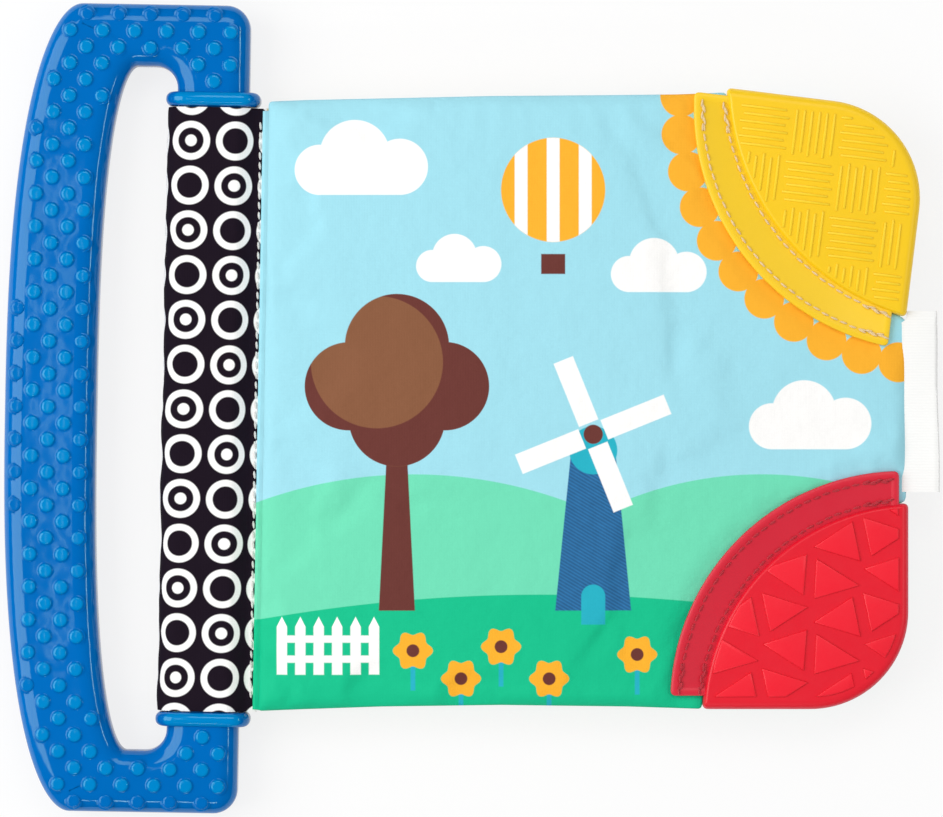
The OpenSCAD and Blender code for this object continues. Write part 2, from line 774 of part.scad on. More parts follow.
// What stands in front of the fields behind it
module front_fields() {
    white_fields();
    teal_fields();
    blue_fields();
    orange_fields();
    brown_fields();
}
module cover_print_white() printed("#FBFAF5") white_fields();
module cover_print_teal() printed("#1D9AA8") teal_fields();
module cover_print_blue() printed("#3C7CC4") blue_fields();
module cover_print_orange() printed("#F7A128") orange_fields();
module cover_print_brown() printed("#8A5A36") brown_fields();
module cover_print_green() printed("#00BE86") difference() {
    ground();
    front_fields();
}
module cover_print_mint() printed("#74DDB8") difference() {
    hills();
    ground();
    front_fields();
}

handle();
spine_sleeve();
sleeve_print();
spine_thread();
page_block();
back_cover_face();
back_cover_padding();
back_cover_lining();
front_cover_face();
front_cover_padding();
front_cover_lining();
yellow_corner_teether();
yellow_corner_thread();
red_corner_teether();
red_corner_thread();
side_label();
cover_print_white();
cover_print_mint();
cover_print_green();
cover_print_orange();
cover_print_brown();
cover_print_blue();
cover_print_teal();
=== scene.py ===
"""Cloth book for a baby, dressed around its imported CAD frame: a moulded handle, a printed spine sleeve,
padded covers and leaves, two chewable corners, their stitching and a folded label.

Lengths in this file are in millimetres until they reach a mesh. The block frame has its origin half way
up the spine's seam, and the spine frame is the block frame turned by the lean of the spine."""

import math
from functools import reduce

import bpy
import numpy as np
from mathutils import Matrix, Vector, noise


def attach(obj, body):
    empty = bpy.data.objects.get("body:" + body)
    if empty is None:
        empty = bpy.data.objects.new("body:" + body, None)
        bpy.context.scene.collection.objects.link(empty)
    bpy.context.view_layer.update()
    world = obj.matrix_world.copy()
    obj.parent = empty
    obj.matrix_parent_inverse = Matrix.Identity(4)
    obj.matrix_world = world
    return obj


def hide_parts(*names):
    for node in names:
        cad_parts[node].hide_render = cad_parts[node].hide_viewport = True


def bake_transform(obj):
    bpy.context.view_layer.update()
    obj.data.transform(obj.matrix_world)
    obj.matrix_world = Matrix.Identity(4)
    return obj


bl_info = {
    "name": "Teether Book",
    "version": (1, 0, 0),
    "blender": (4, 5, 0),
    "location": "View3D > Sidebar > Teether Book",
    "description": "Builds a cloth book with a grip handle and chewable corners",
    "category": "Add Mesh",
}

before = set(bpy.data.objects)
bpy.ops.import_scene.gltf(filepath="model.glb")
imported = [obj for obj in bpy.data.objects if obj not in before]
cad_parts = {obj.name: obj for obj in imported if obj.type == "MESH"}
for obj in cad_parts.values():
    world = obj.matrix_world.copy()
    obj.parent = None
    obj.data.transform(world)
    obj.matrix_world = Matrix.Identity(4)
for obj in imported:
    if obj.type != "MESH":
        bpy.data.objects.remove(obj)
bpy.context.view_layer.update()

MM = 0.001

# Width of the level step inside a rounded edge, which keeps the shading of the face flat
LEVEL_STEP = 0.2

# Frames
BLOCK_MIDDLE = (52.50245, 0.49739)
LEAN = math.radians(1)

# Heights in the stack
HANDLE_MID = 7.5
LEAF_MIDS = (5.65, 8.65)
LEAF_HALF = 1.35
BACK_MID = 2.0
FRONT_MID = 13.7
COVER_HALF = 2.0
TAIL_LOW, TAIL_TOP = 3.4, 10.9
SLEEVE_LOW, SLEEVE_TOP = 1.6, 13.4

# Handle
HANDLE_H, HANDLE_REACH, GRIP_W, HANDLE_T = 202.8, 64.5, 22.9, 12.6
OPENING_H, OUTER_BOW, INNER_BOW = 171.8, 18, 9
OUTER_EXPONENT, INNER_EXPONENT = 2.57, 2.75
OUTER_CORNER_R, INNER_CORNER_R = 6, 5.5
BAR_RIGHT, BAR_LEFT = -4.5, -22.5
COLLAR_W, COLLAR_D, COLLAR_T, COLLAR_SPAN = 23.7, 15, 3.6, 151.8
SHAFT_W, SHAFT_T, SHAFT_R = 18, 9.4, 3.5
BUMP_R, BUMP_PITCH_X, BUMP_PITCH_Y, BUMP_MARGIN, FIRST_BUMP = 2.3, 8, 8.2, 2.8, 3.25

# Sleeve
SLEEVE_REACH, SLEEVE_FOLD_R, SLEEVE_HALF_L, SHOULDER, TONGUE = 24.9, 4.6, 75.6, 7, 3
RING_R, RING_LINE, DOT_R, RING_PITCH = 4.85, 1.65, 1.45, 11.2
FIRST_RING = 19.3

# Covers and leaves
COVER_W, COVER_DOWN, COVER_UP, COVER_RISE = 161, 74.5, 76.7, 2.8
LEAF_INSET, LOW_CORNER_R, HIGH_CORNER_R = 0.9, 24, 29
FRONT_TOP_EDGE = ((1.85, 76.9), (12, 77.3), (40, 77.9), (58, 78.3), (85, 78.5), (104, 78.7), (116.5, 79.2))
FRONT_LOW_EDGE = ((-0.8, -74.9), (12, -74.4), (30, -73.8), (60, -73.4), (92, -73.8), (109.8, -74.4))

# Lower and upper end of the label, in the whole object's frame
LABEL_ENDS = (-20.9, 24.3)

# Chewable corners
CORNER_R, CORNER_SIDE, CORNER_T, CORNER_EDGE_R = 24.5, 51.5, 5.8, 2.2
FLANGE_W, FLANGE_END, FLANGE_T = 8, 3.4, 1.5
TIP_R, RELIEF_SIDES, RELIEF_ARC, RELIEF_H = 1.3, (2.6, 3.2), 1.1, 0.5
WEAVE_TILE, WEAVE_START, WEAVE_RIDGES, WEAVE_PITCH, WEAVE_RIDGE_W = 12.6, (8.4, 3.2), 6, 1.88, 0.8
TRIANGLE_CELL = (25.2, 18.8)
TRIANGLES = (
    ((0.6, 16.1), (10.3, 22.5), (12.4, 12.5)),
    ((1.3, 13.2), (12.2, 6.5), (0.8, 3.2)),
    ((-12.3, 4.7), (-0.7, 1.1), (-10.2, -5)),
    ((-12.1, -8.1), (-1, -4.5), (-1.8, -14.8)),
)
STITCH_L, STITCH_W, STITCH_PITCH = 2.0, 0.55, 2.5

# Picture on the front cover, in the block frame
PRINT_INKS = ("white", "mint", "green", "orange", "brown", "blue", "teal")
CLOUDS = ((26, 60, 1.25), (50, 36, 0.8), (100, 34, 0.9), (138, -4, 1.15))
TREE, MILL, BALLOON = (34, -50), (83, -50), (73, 55)
FLOWERS = ((38, -60), (50, -67), (60, -59), (72, -67), (94, -61))


# FRAMES AND LINES


def block(points):
    """Points of the block frame as points of the whole object's frame."""
    out = np.array(points, float)
    out[..., :2] -= BLOCK_MIDDLE
    return out


def spine(points):
    """Points of the spine frame as points of the whole object's frame."""
    out = np.array(points, float)
    x, y = out[..., 0].copy(), out[..., 1].copy()
    out[..., 0] = x * math.cos(LEAN) + y * math.sin(LEAN)
    out[..., 1] = y * math.cos(LEAN) - x * math.sin(LEAN)
    return block(out)


def seam_x(y):
    """Where the seam line crosses a height of the block frame."""
    return y * math.tan(LEAN)


def arc(centre, radius, start, end, steps):
    turns = np.radians(np.linspace(start, end, steps + 1))
    return np.stack([centre[0] + radius * np.cos(turns), centre[1] + radius * np.sin(turns)], axis=1)


def rounded(low, high, radius, steps):
    """Anticlockwise rectangle with round corners."""
    places = (
        (high[0] - radius, low[1] + radius, -90),
        (high[0] - radius, high[1] - radius, 0),
        (low[0] + radius, high[1] - radius, 90),
        (low[0] + radius, low[1] + radius, 180),
    )
    return np.concatenate([arc((x, y), radius, a, a + 90, steps) for x, y, a in places])


def along_line(line, share):
    """Points at shares of a line's length."""
    line = np.asarray(line, float)
    steps = np.linalg.norm(np.diff(line, axis=0), axis=1)
    at = np.concatenate([[0], np.cumsum(steps)]) / steps.sum()
    return np.stack([np.interp(share, at, line[:, k]) for k in range(line.shape[1])], axis=-1)


def length_of(line):
    return float(np.linalg.norm(np.diff(np.asarray(line, float), axis=0), axis=1).sum())


def to_line(points, line):
    """Each point's distance to a line, and how far along the line its nearest place is."""
    line = np.asarray(line, float)
    start, step = line[:-1], np.diff(line, axis=0)
    size = np.maximum((step**2).sum(1), 1e-9)
    run = np.concatenate([[0], np.cumsum(np.sqrt(size))[:-1]])
    away = points[:, None, :] - start[None]
    share = np.clip((away * step).sum(2) / size, 0, 1)
    gaps = np.linalg.norm(away - share[..., None] * step, axis=2)
    best = gaps.argmin(1)
    row = np.arange(len(points))
    return gaps[row, best], run[best] + share[row, best] * np.sqrt(size[best])


def inside(points, loop):
    """Which points lie inside a closed loop."""
    a = np.asarray(loop, float)
    b = np.roll(a, -1, axis=0)
    x, y = points[:, 0, None], points[:, 1, None]
    spans = (a[:, 1] > y) != (b[:, 1] > y)
    rise = np.where(b[:, 1] == a[:, 1], 1e-12, b[:, 1] - a[:, 1])
    return (spans & (x < (b[:, 0] - a[:, 0]) * (y - a[:, 1]) / rise + a[:, 0])).sum(1) % 2 == 1


def aside(line, by):
    """An open line, moved to its left."""
    edge = np.diff(line, axis=0)
    normal = np.stack([-edge[:, 1], edge[:, 0]], axis=1) / np.linalg.norm(edge, axis=1)[:, None]
    before, after = np.concatenate([normal[:1], normal]), np.concatenate([normal, normal[-1:]])
    return line + by * (before + after) / (1 + (before * after).sum(1))[:, None]


def closed(loop):
    return np.concatenate([loop, loop[:1]])


def clipped(polygon, hull):
    """A polygon cut by an anticlockwise convex loop."""
    kept = [tuple(p) for p in polygon]
    for a, b in zip(hull, np.roll(hull, -1, axis=0)):
        edge, out = b - a, []
        depth = [edge[0] * (p[1] - a[1]) - edge[1] * (p[0] - a[0]) for p in kept]
        for i, p in enumerate(kept):
            j = (i + 1) % len(kept)
            if depth[i] >= 0:
                out.append(p)
            if (depth[i] >= 0) != (depth[j] >= 0):
                share = depth[i] / (depth[i] - depth[j])
                out.append(tuple(p[k] + share * (kept[j][k] - p[k]) for k in (0, 1)))
        kept = out
        if len(kept) < 3:
            return []
    tidy = [p for i, p in enumerate(kept) if math.dist(p, kept[i - 1]) > 0.15]
    return tidy if len(tidy) > 2 else []


def shrunk(loop, by):
    """A small convex loop, drawn in from its edges."""
    centre = loop.mean(0)
    room = to_line(centre[None], closed(loop))[0][0]
    return centre + (loop - centre) * (1 - by / max(room, 2 * by, 1e-6))


def ease(value):
    value = np.clip(value, 0, 1)
    return value * value * (3 - 2 * value)


# MODELLING


def clear():
    if bpy.context.mode != "OBJECT":
        bpy.ops.object.mode_set(mode="OBJECT")
    bpy.ops.object.select_all(action="DESELECT")


def named(name):
    """The primitive that was just added, under its own name."""
    obj = bpy.context.object
    obj.name = obj.data.name = name
    return obj


def points_of(obj):
    out = np.empty(len(obj.data.vertices) * 3)
    obj.data.vertices.foreach_get("co", out)
    return out.reshape(-1, 3) / MM


def set_points(obj, points):
    obj.data.vertices.foreach_set("co", (np.asarray(points, float) * MM).ravel())
    obj.data.update()


def apply_modifier(obj, kind, **settings):
    clear()
    obj.select_set(True)
    bpy.context.view_layer.objects.active = obj
    modifier = obj.modifiers.new(kind.title(), kind)
    for name, value in settings.items():
        setattr(modifier, name, value)
    bpy.ops.object.modifier_apply(modifier=modifier.name)


def smooth(obj, angle=None):
    clear()
    obj.select_set(True)
    bpy.context.view_layer.objects.active = obj
    if angle is None:
        bpy.ops.object.shade_smooth()
    else:
        bpy.ops.object.shade_smooth_by_angle(angle=math.radians(angle))


def joined(name, pieces):
    clear()
    for piece in pieces:
        piece.select_set(True)
    bpy.context.view_layer.objects.active = pieces[0]
    bpy.ops.object.join()
    return named(name)


def rounding(radius, steps, rise=None):
    """Insets that round an edge, as (inwards, up), from the wall to the face, and a level step that keeps
    the face flat."""
    rise = radius if rise is None else rise
    turns = [math.pi / 2 * i / steps for i in range(steps + 1)]
    curve = [
        (radius * (math.cos(a) - math.cos(b)), rise * (math.sin(b) - math.sin(a)))
        for a, b in zip(turns, turns[1:])
    ]
    return curve + [(LEVEL_STEP, 0)]


def insets(obj, facing, steps):
    """Steps in the faces that look up (1) or down (-1)."""
    if not steps:
        return
    bpy.ops.mesh.select_all(action="DESELECT")
    bpy.ops.object.mode_set(mode="OBJECT")
    for face in obj.data.polygons:
        face.select = face.normal.z * facing > 0.9
    bpy.ops.object.mode_set(mode="EDIT")
    for inwards, up in steps:
        bpy.ops.mesh.inset(thickness=inwards * MM, depth=up * MM)


def plate(name, loops, low, high, upper=(), lower=()):
    """Plates over loops of points, with walls between two heights. The upper and the lower edges then
    step in, as rounding() gives the steps."""
    clear()
    bpy.ops.mesh.primitive_circle_add(vertices=len(loops[0]), radius=1, fill_type="NGON")
    obj = named(name)
    bpy.ops.object.mode_set(mode="EDIT")
    bpy.ops.mesh.select_mode(type="FACE")
    for loop in loops[1:]:
        bpy.ops.mesh.primitive_circle_add(vertices=len(loop), radius=1, fill_type="NGON")
    bpy.ops.object.mode_set(mode="OBJECT")
    flat = np.concatenate(loops)
    set_points(obj, np.column_stack([flat, np.full(len(flat), low)]))
    bpy.ops.object.mode_set(mode="EDIT")
    bpy.ops.mesh.select_all(action="SELECT")
    bpy.ops.mesh.extrude_region_move(TRANSFORM_OT_translate={"value": (0, 0, (high - low) * MM)})
    bpy.ops.mesh.select_all(action="SELECT")
    bpy.ops.mesh.normals_make_consistent(inside=False)
    insets(obj, 1, upper)
    insets(obj, -1, lower)
    bpy.ops.object.mode_set(mode="OBJECT")
    return obj


def moved(obj, change):
    """Moves a piece's points by a function on an array of points."""
    set_points(obj, change(points_of(obj)))
    return obj


def turned_out(obj):
    """Makes every face of a closed piece look outwards."""
    clear()
    obj.select_set(True)
    bpy.context.view_layer.objects.active = obj
    bpy.ops.object.mode_set(mode="EDIT")
    bpy.ops.mesh.select_all(action="SELECT")
    bpy.ops.mesh.normals_make_consistent(inside=False)
    bpy.ops.object.mode_set(mode="OBJECT")
    return obj


def grid(name, across, along, place):
    """A grid whose points go to place(u, v), with u and v from 0 to 1."""
    clear()
    bpy.ops.mesh.primitive_grid_add(x_subdivisions=across, y_subdivisions=along, size=2)
    obj = named(name)
    points = points_of(obj) * MM
    set_points(obj, place((points[:, 0] + 1) / 2, (points[:, 1] + 1) / 2))
    return obj


def stack(name, levels):
    """A closed piece through loops of points at their heights, from the lowest to the highest."""
    count = len(levels[0][0])
    table = np.array([np.column_stack([loop, np.full(count, z)]) for loop, z in levels])

    def place(u, v):
        return table[np.rint(v * (len(levels) - 1)).astype(int), np.rint(u * count).astype(int) % count]

    obj = grid(name, count, len(levels) - 1, place)
    bpy.ops.object.mode_set(mode="EDIT")
    bpy.ops.mesh.select_all(action="SELECT")
    bpy.ops.mesh.remove_doubles(threshold=0.0001 * MM)
    bpy.ops.mesh.fill_holes(sides=0)
    bpy.ops.mesh.select_all(action="SELECT")
    bpy.ops.mesh.normals_make_consistent(inside=False)
    bpy.ops.object.mode_set(mode="OBJECT")
    return obj


def round_edge(half, width, rise, steps):
    """Half of a rounded edge, as (inwards, up), from the outline to the level face."""
    turns = np.radians(np.linspace(0, 90, steps + 1))
    curve = [(width * (1 - math.cos(a)), half + rise * (math.sin(a) - 1)) for a in turns]
    return curve + [(width + LEVEL_STEP, half)]


def pebble(name, loop_of, half, width, rise, steps):
    """A closed piece with both edges rounded. loop_of gives the outline drawn in by a distance."""
    edge = round_edge(half, width, rise, steps)
    lower = [(loop_of(inset), -z) for inset, z in edge[::-1]]
    return stack(name, lower + [(loop_of(inset), z) for inset, z in edge])


def copies(name, pattern, places):
    """One piece with a copy of the pattern at every place. A place is a matrix in millimetres and how
    much longer the copy is than the pattern, along x. The pattern itself is removed."""
    base = points_of(pattern)
    faces = [list(face.vertices) for face in pattern.data.polygons]
    points, all_faces = [], []
    for matrix, longer in places:
        own = base.copy()
        own[:, 0] += np.sign(np.round(own[:, 0], 4)) * longer / 2
        start = len(base) * len(points)
        points.append(own @ np.array(matrix.to_3x3()).T + np.array(matrix.translation))
        all_faces += [[start + i for i in face] for face in faces]
    mesh = bpy.data.meshes.new(name)
    mesh.from_pydata((np.concatenate(points) * MM).tolist(), [], all_faces)
    obj = bpy.data.objects.new(name, mesh)
    bpy.context.scene.collection.objects.link(obj)
    bpy.data.objects.remove(pattern)
    return obj


def bead(length, width, height, flat=1.0):
    """A rounded dash about the origin, along x. flat below 1 squares its section."""
    clear()
    bpy.ops.mesh.primitive_uv_sphere_add(segments=8, ring_count=6, radius=1)
    obj = named("bead")

    def shape(points):
        unit = points * MM
        unit = np.stack([unit[:, 2], unit[:, 1], -unit[:, 0]], axis=1)
        unit[:, 2] = np.sign(unit[:, 2]) * np.abs(unit[:, 2]) ** flat
        return unit * (length / 2, width / 2, height / 2)

    return moved(obj, shape)


def at(x, y, z, turn=0.0):
    return Matrix.Translation((x, y, z)) @ Matrix.Rotation(turn, 4, "Z")


def dressed(obj, finish, body, slot, *nodes):
    """Gives a piece its finish and its body, and hides the CAD nodes that it stands for. The slot is not
    used.
    """
    obj.data.materials.clear()
    obj.data.materials.append(finish.material)
    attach(obj, body)
    if nodes:
        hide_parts(*nodes)
    return obj


# SHADER MATHS


class Field:
    """A shader value that Python's operators work on."""

    def __init__(self, finish, socket):
        self.finish, self.socket = finish, socket

    def math(self, operation, *others, clamp=False):
        return self.finish.math(operation, self, *others, clamp=clamp)

    def __add__(self, other):
        return self.math("ADD", other)

    def __sub__(self, other):
        return self.math("SUBTRACT", other)

    def __mul__(self, other):
        return self.math("MULTIPLY", other)

    def __truediv__(self, other):
        return self.math("DIVIDE", other)

    def __radd__(self, other):
        return self.finish.math("ADD", other, self)

    def __rsub__(self, other):
        return self.finish.math("SUBTRACT", other, self)

    def __rmul__(self, other):
        return self.finish.math("MULTIPLY", other, self)

    def __neg__(self):
        return self * -1.0

    def __abs__(self):
        return self.math("ABSOLUTE")

    def below(self, other):
        return self.math("MINIMUM", other)

    def above(self, other):
        return self.math("MAXIMUM", other)

    def folded(self, pitch):
        """Distance to the nearest multiple of a pitch, with its sign."""
        return self - (self / pitch).math("ROUND") * pitch


class Finish:
    """A material, built around its Principled shader."""

    def __init__(self, name, **constants):
        self.material = bpy.data.materials.new(name)
        self.material.use_nodes = True
        self.tree = self.material.node_tree
        self.shader = self.tree.nodes["Principled BSDF"]
        for socket, value in constants.items():
            self.shader.inputs[socket.replace("_", " ")].default_value = value

    def node(self, kind, settings=None, **inputs):
        """Adds a node: its settings first, then the values or links of its sockets. A socket is named, or
        numbered as s0, s1 and so on."""
        node = self.tree.nodes.new("ShaderNode" + kind)
        for name, value in (settings or {}).items():
            setattr(node, name, value)
        for name, value in inputs.items():
            numbered = name[0] == "s" and name[1:].isdigit()
            self.feed(node.inputs[int(name[1:]) if numbered else name.replace("_", " ")], value)
        return node

    def feed(self, socket, value):
        if isinstance(value, Field):
            self.tree.links.new(value.socket, socket)
        else:
            socket.default_value = value

    def set(self, **fields):
        for name, value in fields.items():
            self.feed(self.shader.inputs[name.replace("_", " ")], value)
        return self

    def math(self, operation, *values, clamp=False):
        sockets = {f"s{i}": value for i, value in enumerate(values)}
        node = self.node("Math", {"operation": operation, "use_clamp": clamp}, **sockets)
        return Field(self, node.outputs[0])

    def place(self, shift=(0, 0, 0), turn=0.0, scale=(1000, 1000, 1000)):
        """The piece's own coordinates in millimetres: a vector."""
        coordinates = self.node("TexCoord").outputs["Object"]
        mapping = self.node("Mapping", Vector=Field(self, coordinates), Location=shift, Scale=scale)
        mapping.inputs["Rotation"].default_value = (0, 0, turn)
        return Field(self, mapping.outputs[0])

    def parts(self, vector):
        node = self.node("SeparateXYZ", Vector=vector)
        return [Field(self, socket) for socket in node.outputs]

    def distance(self, vector, centre):
        node = self.node("VectorMath", {"operation": "DISTANCE"}, s0=vector, s1=centre)
        return Field(self, node.outputs["Value"])

    def noise(self, vector, scale, detail=2.0, roughness=0.5):
        """Noise with features of about 1 / scale millimetres."""
        node = self.node("TexNoise", None, Vector=vector, Scale=scale, Detail=detail, Roughness=roughness)
        return Field(self, node.outputs[0])

    def mix(self, factor, first, second):
        node = self.node("Mix", {"data_type": "RGBA"}, s0=factor, s6=first, s7=second)
        return Field(self, node.outputs[2])

    def tinted(self, colour, share, shade):
        """A colour multiplied by a grey that goes from shade to 1 with share."""
        grey = self.mix(share, (shade, shade, shade, 1), (1, 1, 1, 1))
        node = self.node("Mix", {"data_type": "RGBA", "blend_type": "MULTIPLY"}, s0=1.0, s6=colour, s7=grey)
        return Field(self, node.outputs[2])

    def edge(self, field, soft=0.25):
        """A mask that is 1 where a distance field is below 0."""
        return self.math("MULTIPLY_ADD", field, -1 / soft, 0.5, clamp=True)

    def bump(self, height, depth, strength=1.0):
        """Raises the surface by height times depth, in millimetres."""
        node = self.node("Bump", None, Height=height, Distance=depth * MM, Strength=strength)
        return self.set(Normal=Field(self, node.outputs[0]))


def cloth_grain(finish, vector, pitch=0.8):
    """Height of a fine woven cloth, from 0 to 1."""
    x, y, _ = finish.parts(vector)
    turns = 2 * math.pi / pitch
    return (((x + y) * turns).math("SINE") * ((x - y) * turns).math("SINE")) * 0.5 + 0.5


def cloth_finish(name, colour_of, roughness=0.7, grain=0.05, slub=0.94):
    """Printed satin: a colour function on the finish and its block coordinates, a weave and fine dents."""
    finish = Finish(name, Roughness=roughness, Specular_IOR_Level=0.25)
    flat = finish.place((*BLOCK_MIDDLE, 0), 0.0, (1000, 1000, 0))
    solid = finish.place((*BLOCK_MIDDLE, 0))
    grains = cloth_grain(finish, flat)
    dents = finish.noise(solid, 0.09, 3.0, 0.55)
    colour = colour_of(finish, flat, solid)
    colour = finish.tinted(colour, grains * 0.5 + finish.noise(solid, 1.6, 1.0) * 0.5, slub)
    finish.set(Base_Color=colour)
    return finish.bump(grains * grain + dents * 1.6, 0.5, 1.0)


# COLOURS AND SIZES


def linear(code):
    """A colour code as the linear colour that shaders take."""
    parts = [int(code[i : i + 2], 16) / 255 for i in (0, 2, 4)]
    return tuple(p / 12.92 if p <= 0.04045 else ((p + 0.055) / 1.055) ** 2.4 for p in parts)


def colour_property(name, description, code):
    return bpy.props.FloatVectorProperty(
        name=name, description=description, subtype="COLOR", size=3, min=0, max=1, default=linear(code)
    )


def length_property(name, description, value):
    return bpy.props.FloatProperty(
        name=name, description=description, unit="LENGTH", precision=5, min=0, default=value * MM
    )


class BookColours(bpy.types.PropertyGroup):
    handle: colour_property("Handle", "Moulded plastic of the handle", "006DC0")
    # Painted highlight: a lighter blue painted on the tops of the handle's bumps.
    handle_tip: colour_property("Bumps", "Tops of the handle's bumps", "0084C8")
    sleeve: colour_property("Sleeve", "Ground of the spine sleeve's cloth", "1B0F1E")
    white: colour_property("White ink", "Rings, clouds, sails and fence", "FFFEFC")
    sky: colour_property("Sky", "Ground of the front cover's print", "A2E0EE")
    mint: colour_property("Mint ink", "Hills", "70E0B8")
    green: colour_property("Green ink", "Meadow", "00C48E")
    brown: colour_property("Brown ink", "Tree", "8C5A3C")
    bark: colour_property("Dark brown ink", "Shaded side of the tree", "6E352E")
    blue: colour_property("Blue ink", "Mill's tower", "2E7CB8")
    teal: colour_property("Teal ink", "Mill's cap, door and the flowers' stems", "1FB4C8")
    orange: colour_property("Orange ink", "Petals, balloon and flowers", "FFB52A")
    yellow_rubber: colour_property("Yellow rubber", "Upper chewable corner", "FFD000")
    red_rubber: colour_property("Red rubber", "Lower chewable corner", "EE0A28")
    peach: colour_property("Peach cloth", "Lining of the front cover", "F2CBA0")
    butter: colour_property("Butter cloth", "Inner leaves", "F6EDB8")
    sky_back: colour_property("Back cover cloth", "Ground of the back cover's print", "7CCBEA")
    peach_thread: colour_property("Peach thread", "Stitches of the yellow corner", "FFE0A8")
    crimson_thread: colour_property("Crimson thread", "Stitches of the red corner", "D0102E")
    white_thread: colour_property("White thread", "Stitches of the spine seam", "F3F1EC")
    label: colour_property("Label", "Folded satin label", "FFFFFD")


class BookSizes(bpy.types.PropertyGroup):
    handle_edge: length_property("Handle edge", "Height of the handle's rounded edge", 4.2)
    rim_width: length_property("Rim width", "How far in from its outline the handle's face is rounded", 5.3)
    bump_height: length_property("Bump height", "Height of the bumps on the handle", 0.6)
    hem_height: length_property("Hem height", "Thickness of a padded cover at its seam", 0.9)
    puff_width: length_property("Puff width", "How far in from its seam a cover is full", 4.5)
    pucker: length_property("Pucker", "Depth of the puckers along the seams", 0.35)
    ridge_height: length_property("Ridge height", "Height of the raised patterns on the corners", RELIEF_H)
    thread: length_property("Thread", "Thickness of the sewing thread", 0.5)


def inks():
    """The colours, each with its alpha."""
    group = bpy.context.scene.book_colours
    return {name: (*getattr(group, name), 1.0) for name in BookColours.__annotations__}


def size(name):
    """One of the sizes, in millimetres."""
    return getattr(bpy.context.scene.book_sizes, name) / MM


class BookStep(bpy.types.Operator):
    """What every step of the book shares."""

    bl_options = {"REGISTER", "UNDO"}

    def execute(self, context):
        self.build(inks())
        return {"FINISHED"}


# HANDLE


def bow(x_left, depth, half_h, exponent, steps):
    """Half of a bowed outline, from its top to its bottom round the left side."""
    turns = np.radians(np.linspace(90, -90, steps + 1))
    rise = np.sign(np.sin(turns)) * np.abs(np.sin(turns)) ** (2 / exponent)
    return np.stack([x_left + depth * (1 - np.cos(turns)), half_h * rise], axis=1)


def side_line(x_right, x_left, depth, half_h, corner_r, exponent, end):
    """From an upper end at the spine side round the bow to a lower end."""
    upper = arc((x_right - corner_r, half_h - corner_r), corner_r, 0, 90, 10)
    lower = arc((x_right - corner_r, corner_r - half_h), corner_r, -90, 0, 10)
    middle = bow(x_left, depth, half_h, exponent, 120)
    return np.concatenate([[(x_right, end)], upper, middle, lower, [(x_right, -end)]])


def handle_loops():
    end = COLLAR_SPAN / 2 + 0.3
    outer = side_line(
        BAR_RIGHT, -HANDLE_REACH, OUTER_BOW, HANDLE_H / 2, OUTER_CORNER_R, OUTER_EXPONENT, end
    )
    inner = side_line(
        BAR_LEFT, GRIP_W - HANDLE_REACH, INNER_BOW, OPENING_H / 2, INNER_CORNER_R, INNER_EXPONENT, end
    )
    return outer, inner


def bar_levels(outer, inner):
    """The bar's rounded section at each point of its two outlines, from its upper to its lower end."""
    edge = round_edge(HANDLE_T / 2, size("rim_width"), size("handle_edge"), 10)
    sides = [(aside(outer, inset), -z) for inset, z in edge[::-1]]
    sides += [(aside(outer, inset), z) for inset, z in edge]
    sides += [(aside(inner, -inset), z) for inset, z in edge[::-1]]
    sides += [(aside(inner, -inset), -z) for inset, z in edge]
    heights = [z for _, z in sides]
    return [(np.array([line[j] for line, _ in sides]), heights) for j in range(len(outer))]


def bump_places(outer, inner):
    """A staggered lattice, kept where a whole bump has room."""
    rows = int(HANDLE_H / BUMP_PITCH_Y) + 1
    lattice = np.array(
        [
            (FIRST_BUMP - HANDLE_REACH + i * BUMP_PITCH_X / 2, j * BUMP_PITCH_Y / 2)
            for j in range(-rows, rows + 1)
            for i in range(int(HANDLE_REACH / BUMP_PITCH_X * 2) + 1)
            if (i + j) % 2 == 0
        ]
    )
    loop = np.concatenate([outer, inner[::-1]])
    edge = to_line(lattice, closed(loop))[0]
    collar = COLLAR_SPAN / 2 + COLLAR_T + BUMP_R
    clear_of_collars = (lattice[:, 0] < BAR_LEFT - BUMP_MARGIN) | (np.abs(lattice[:, 1]) > collar)
    kept = inside(lattice, loop) & (edge > BUMP_MARGIN) & clear_of_collars
    rim = size("rim_width")
    fall = 1 - np.sqrt(1 - (1 - np.clip(edge[kept] / rim, 0, 1)) ** 2)
    return [(x, y, HANDLE_T / 2 - size("handle_edge") * drop) for (x, y), drop in zip(lattice[kept], fall)]


def plastic(colours):
    """Glossy translucent plastic. The tops of the bumps are painted a lighter blue, as a painted highlight.
    """
    finish = Finish("handle plastic", Roughness=0.08, IOR=1.5, Specular_Tint=(0.62, 1, 0.7, 1))
    where = finish.place((*BLOCK_MIDDLE, 0))
    _, _, z = finish.parts(where)
    # Painted highlight: the bumps' tops, above the bar's face, take the lighter blue.
    painted_highlight_mask = finish.edge(HANDLE_T / 2 + 0.35 - abs(z - HANDLE_MID), 0.4)
    cloudy = finish.noise(where, 0.05, 2.0)
    colour = finish.tinted(colours["handle"], cloudy, 0.86)
    finish.set(Base_Color=finish.mix(painted_highlight_mask, colour, colours["handle_tip"]))
    return finish.bump(finish.noise(where, 0.09, 2.0), 0.2, 1.0)


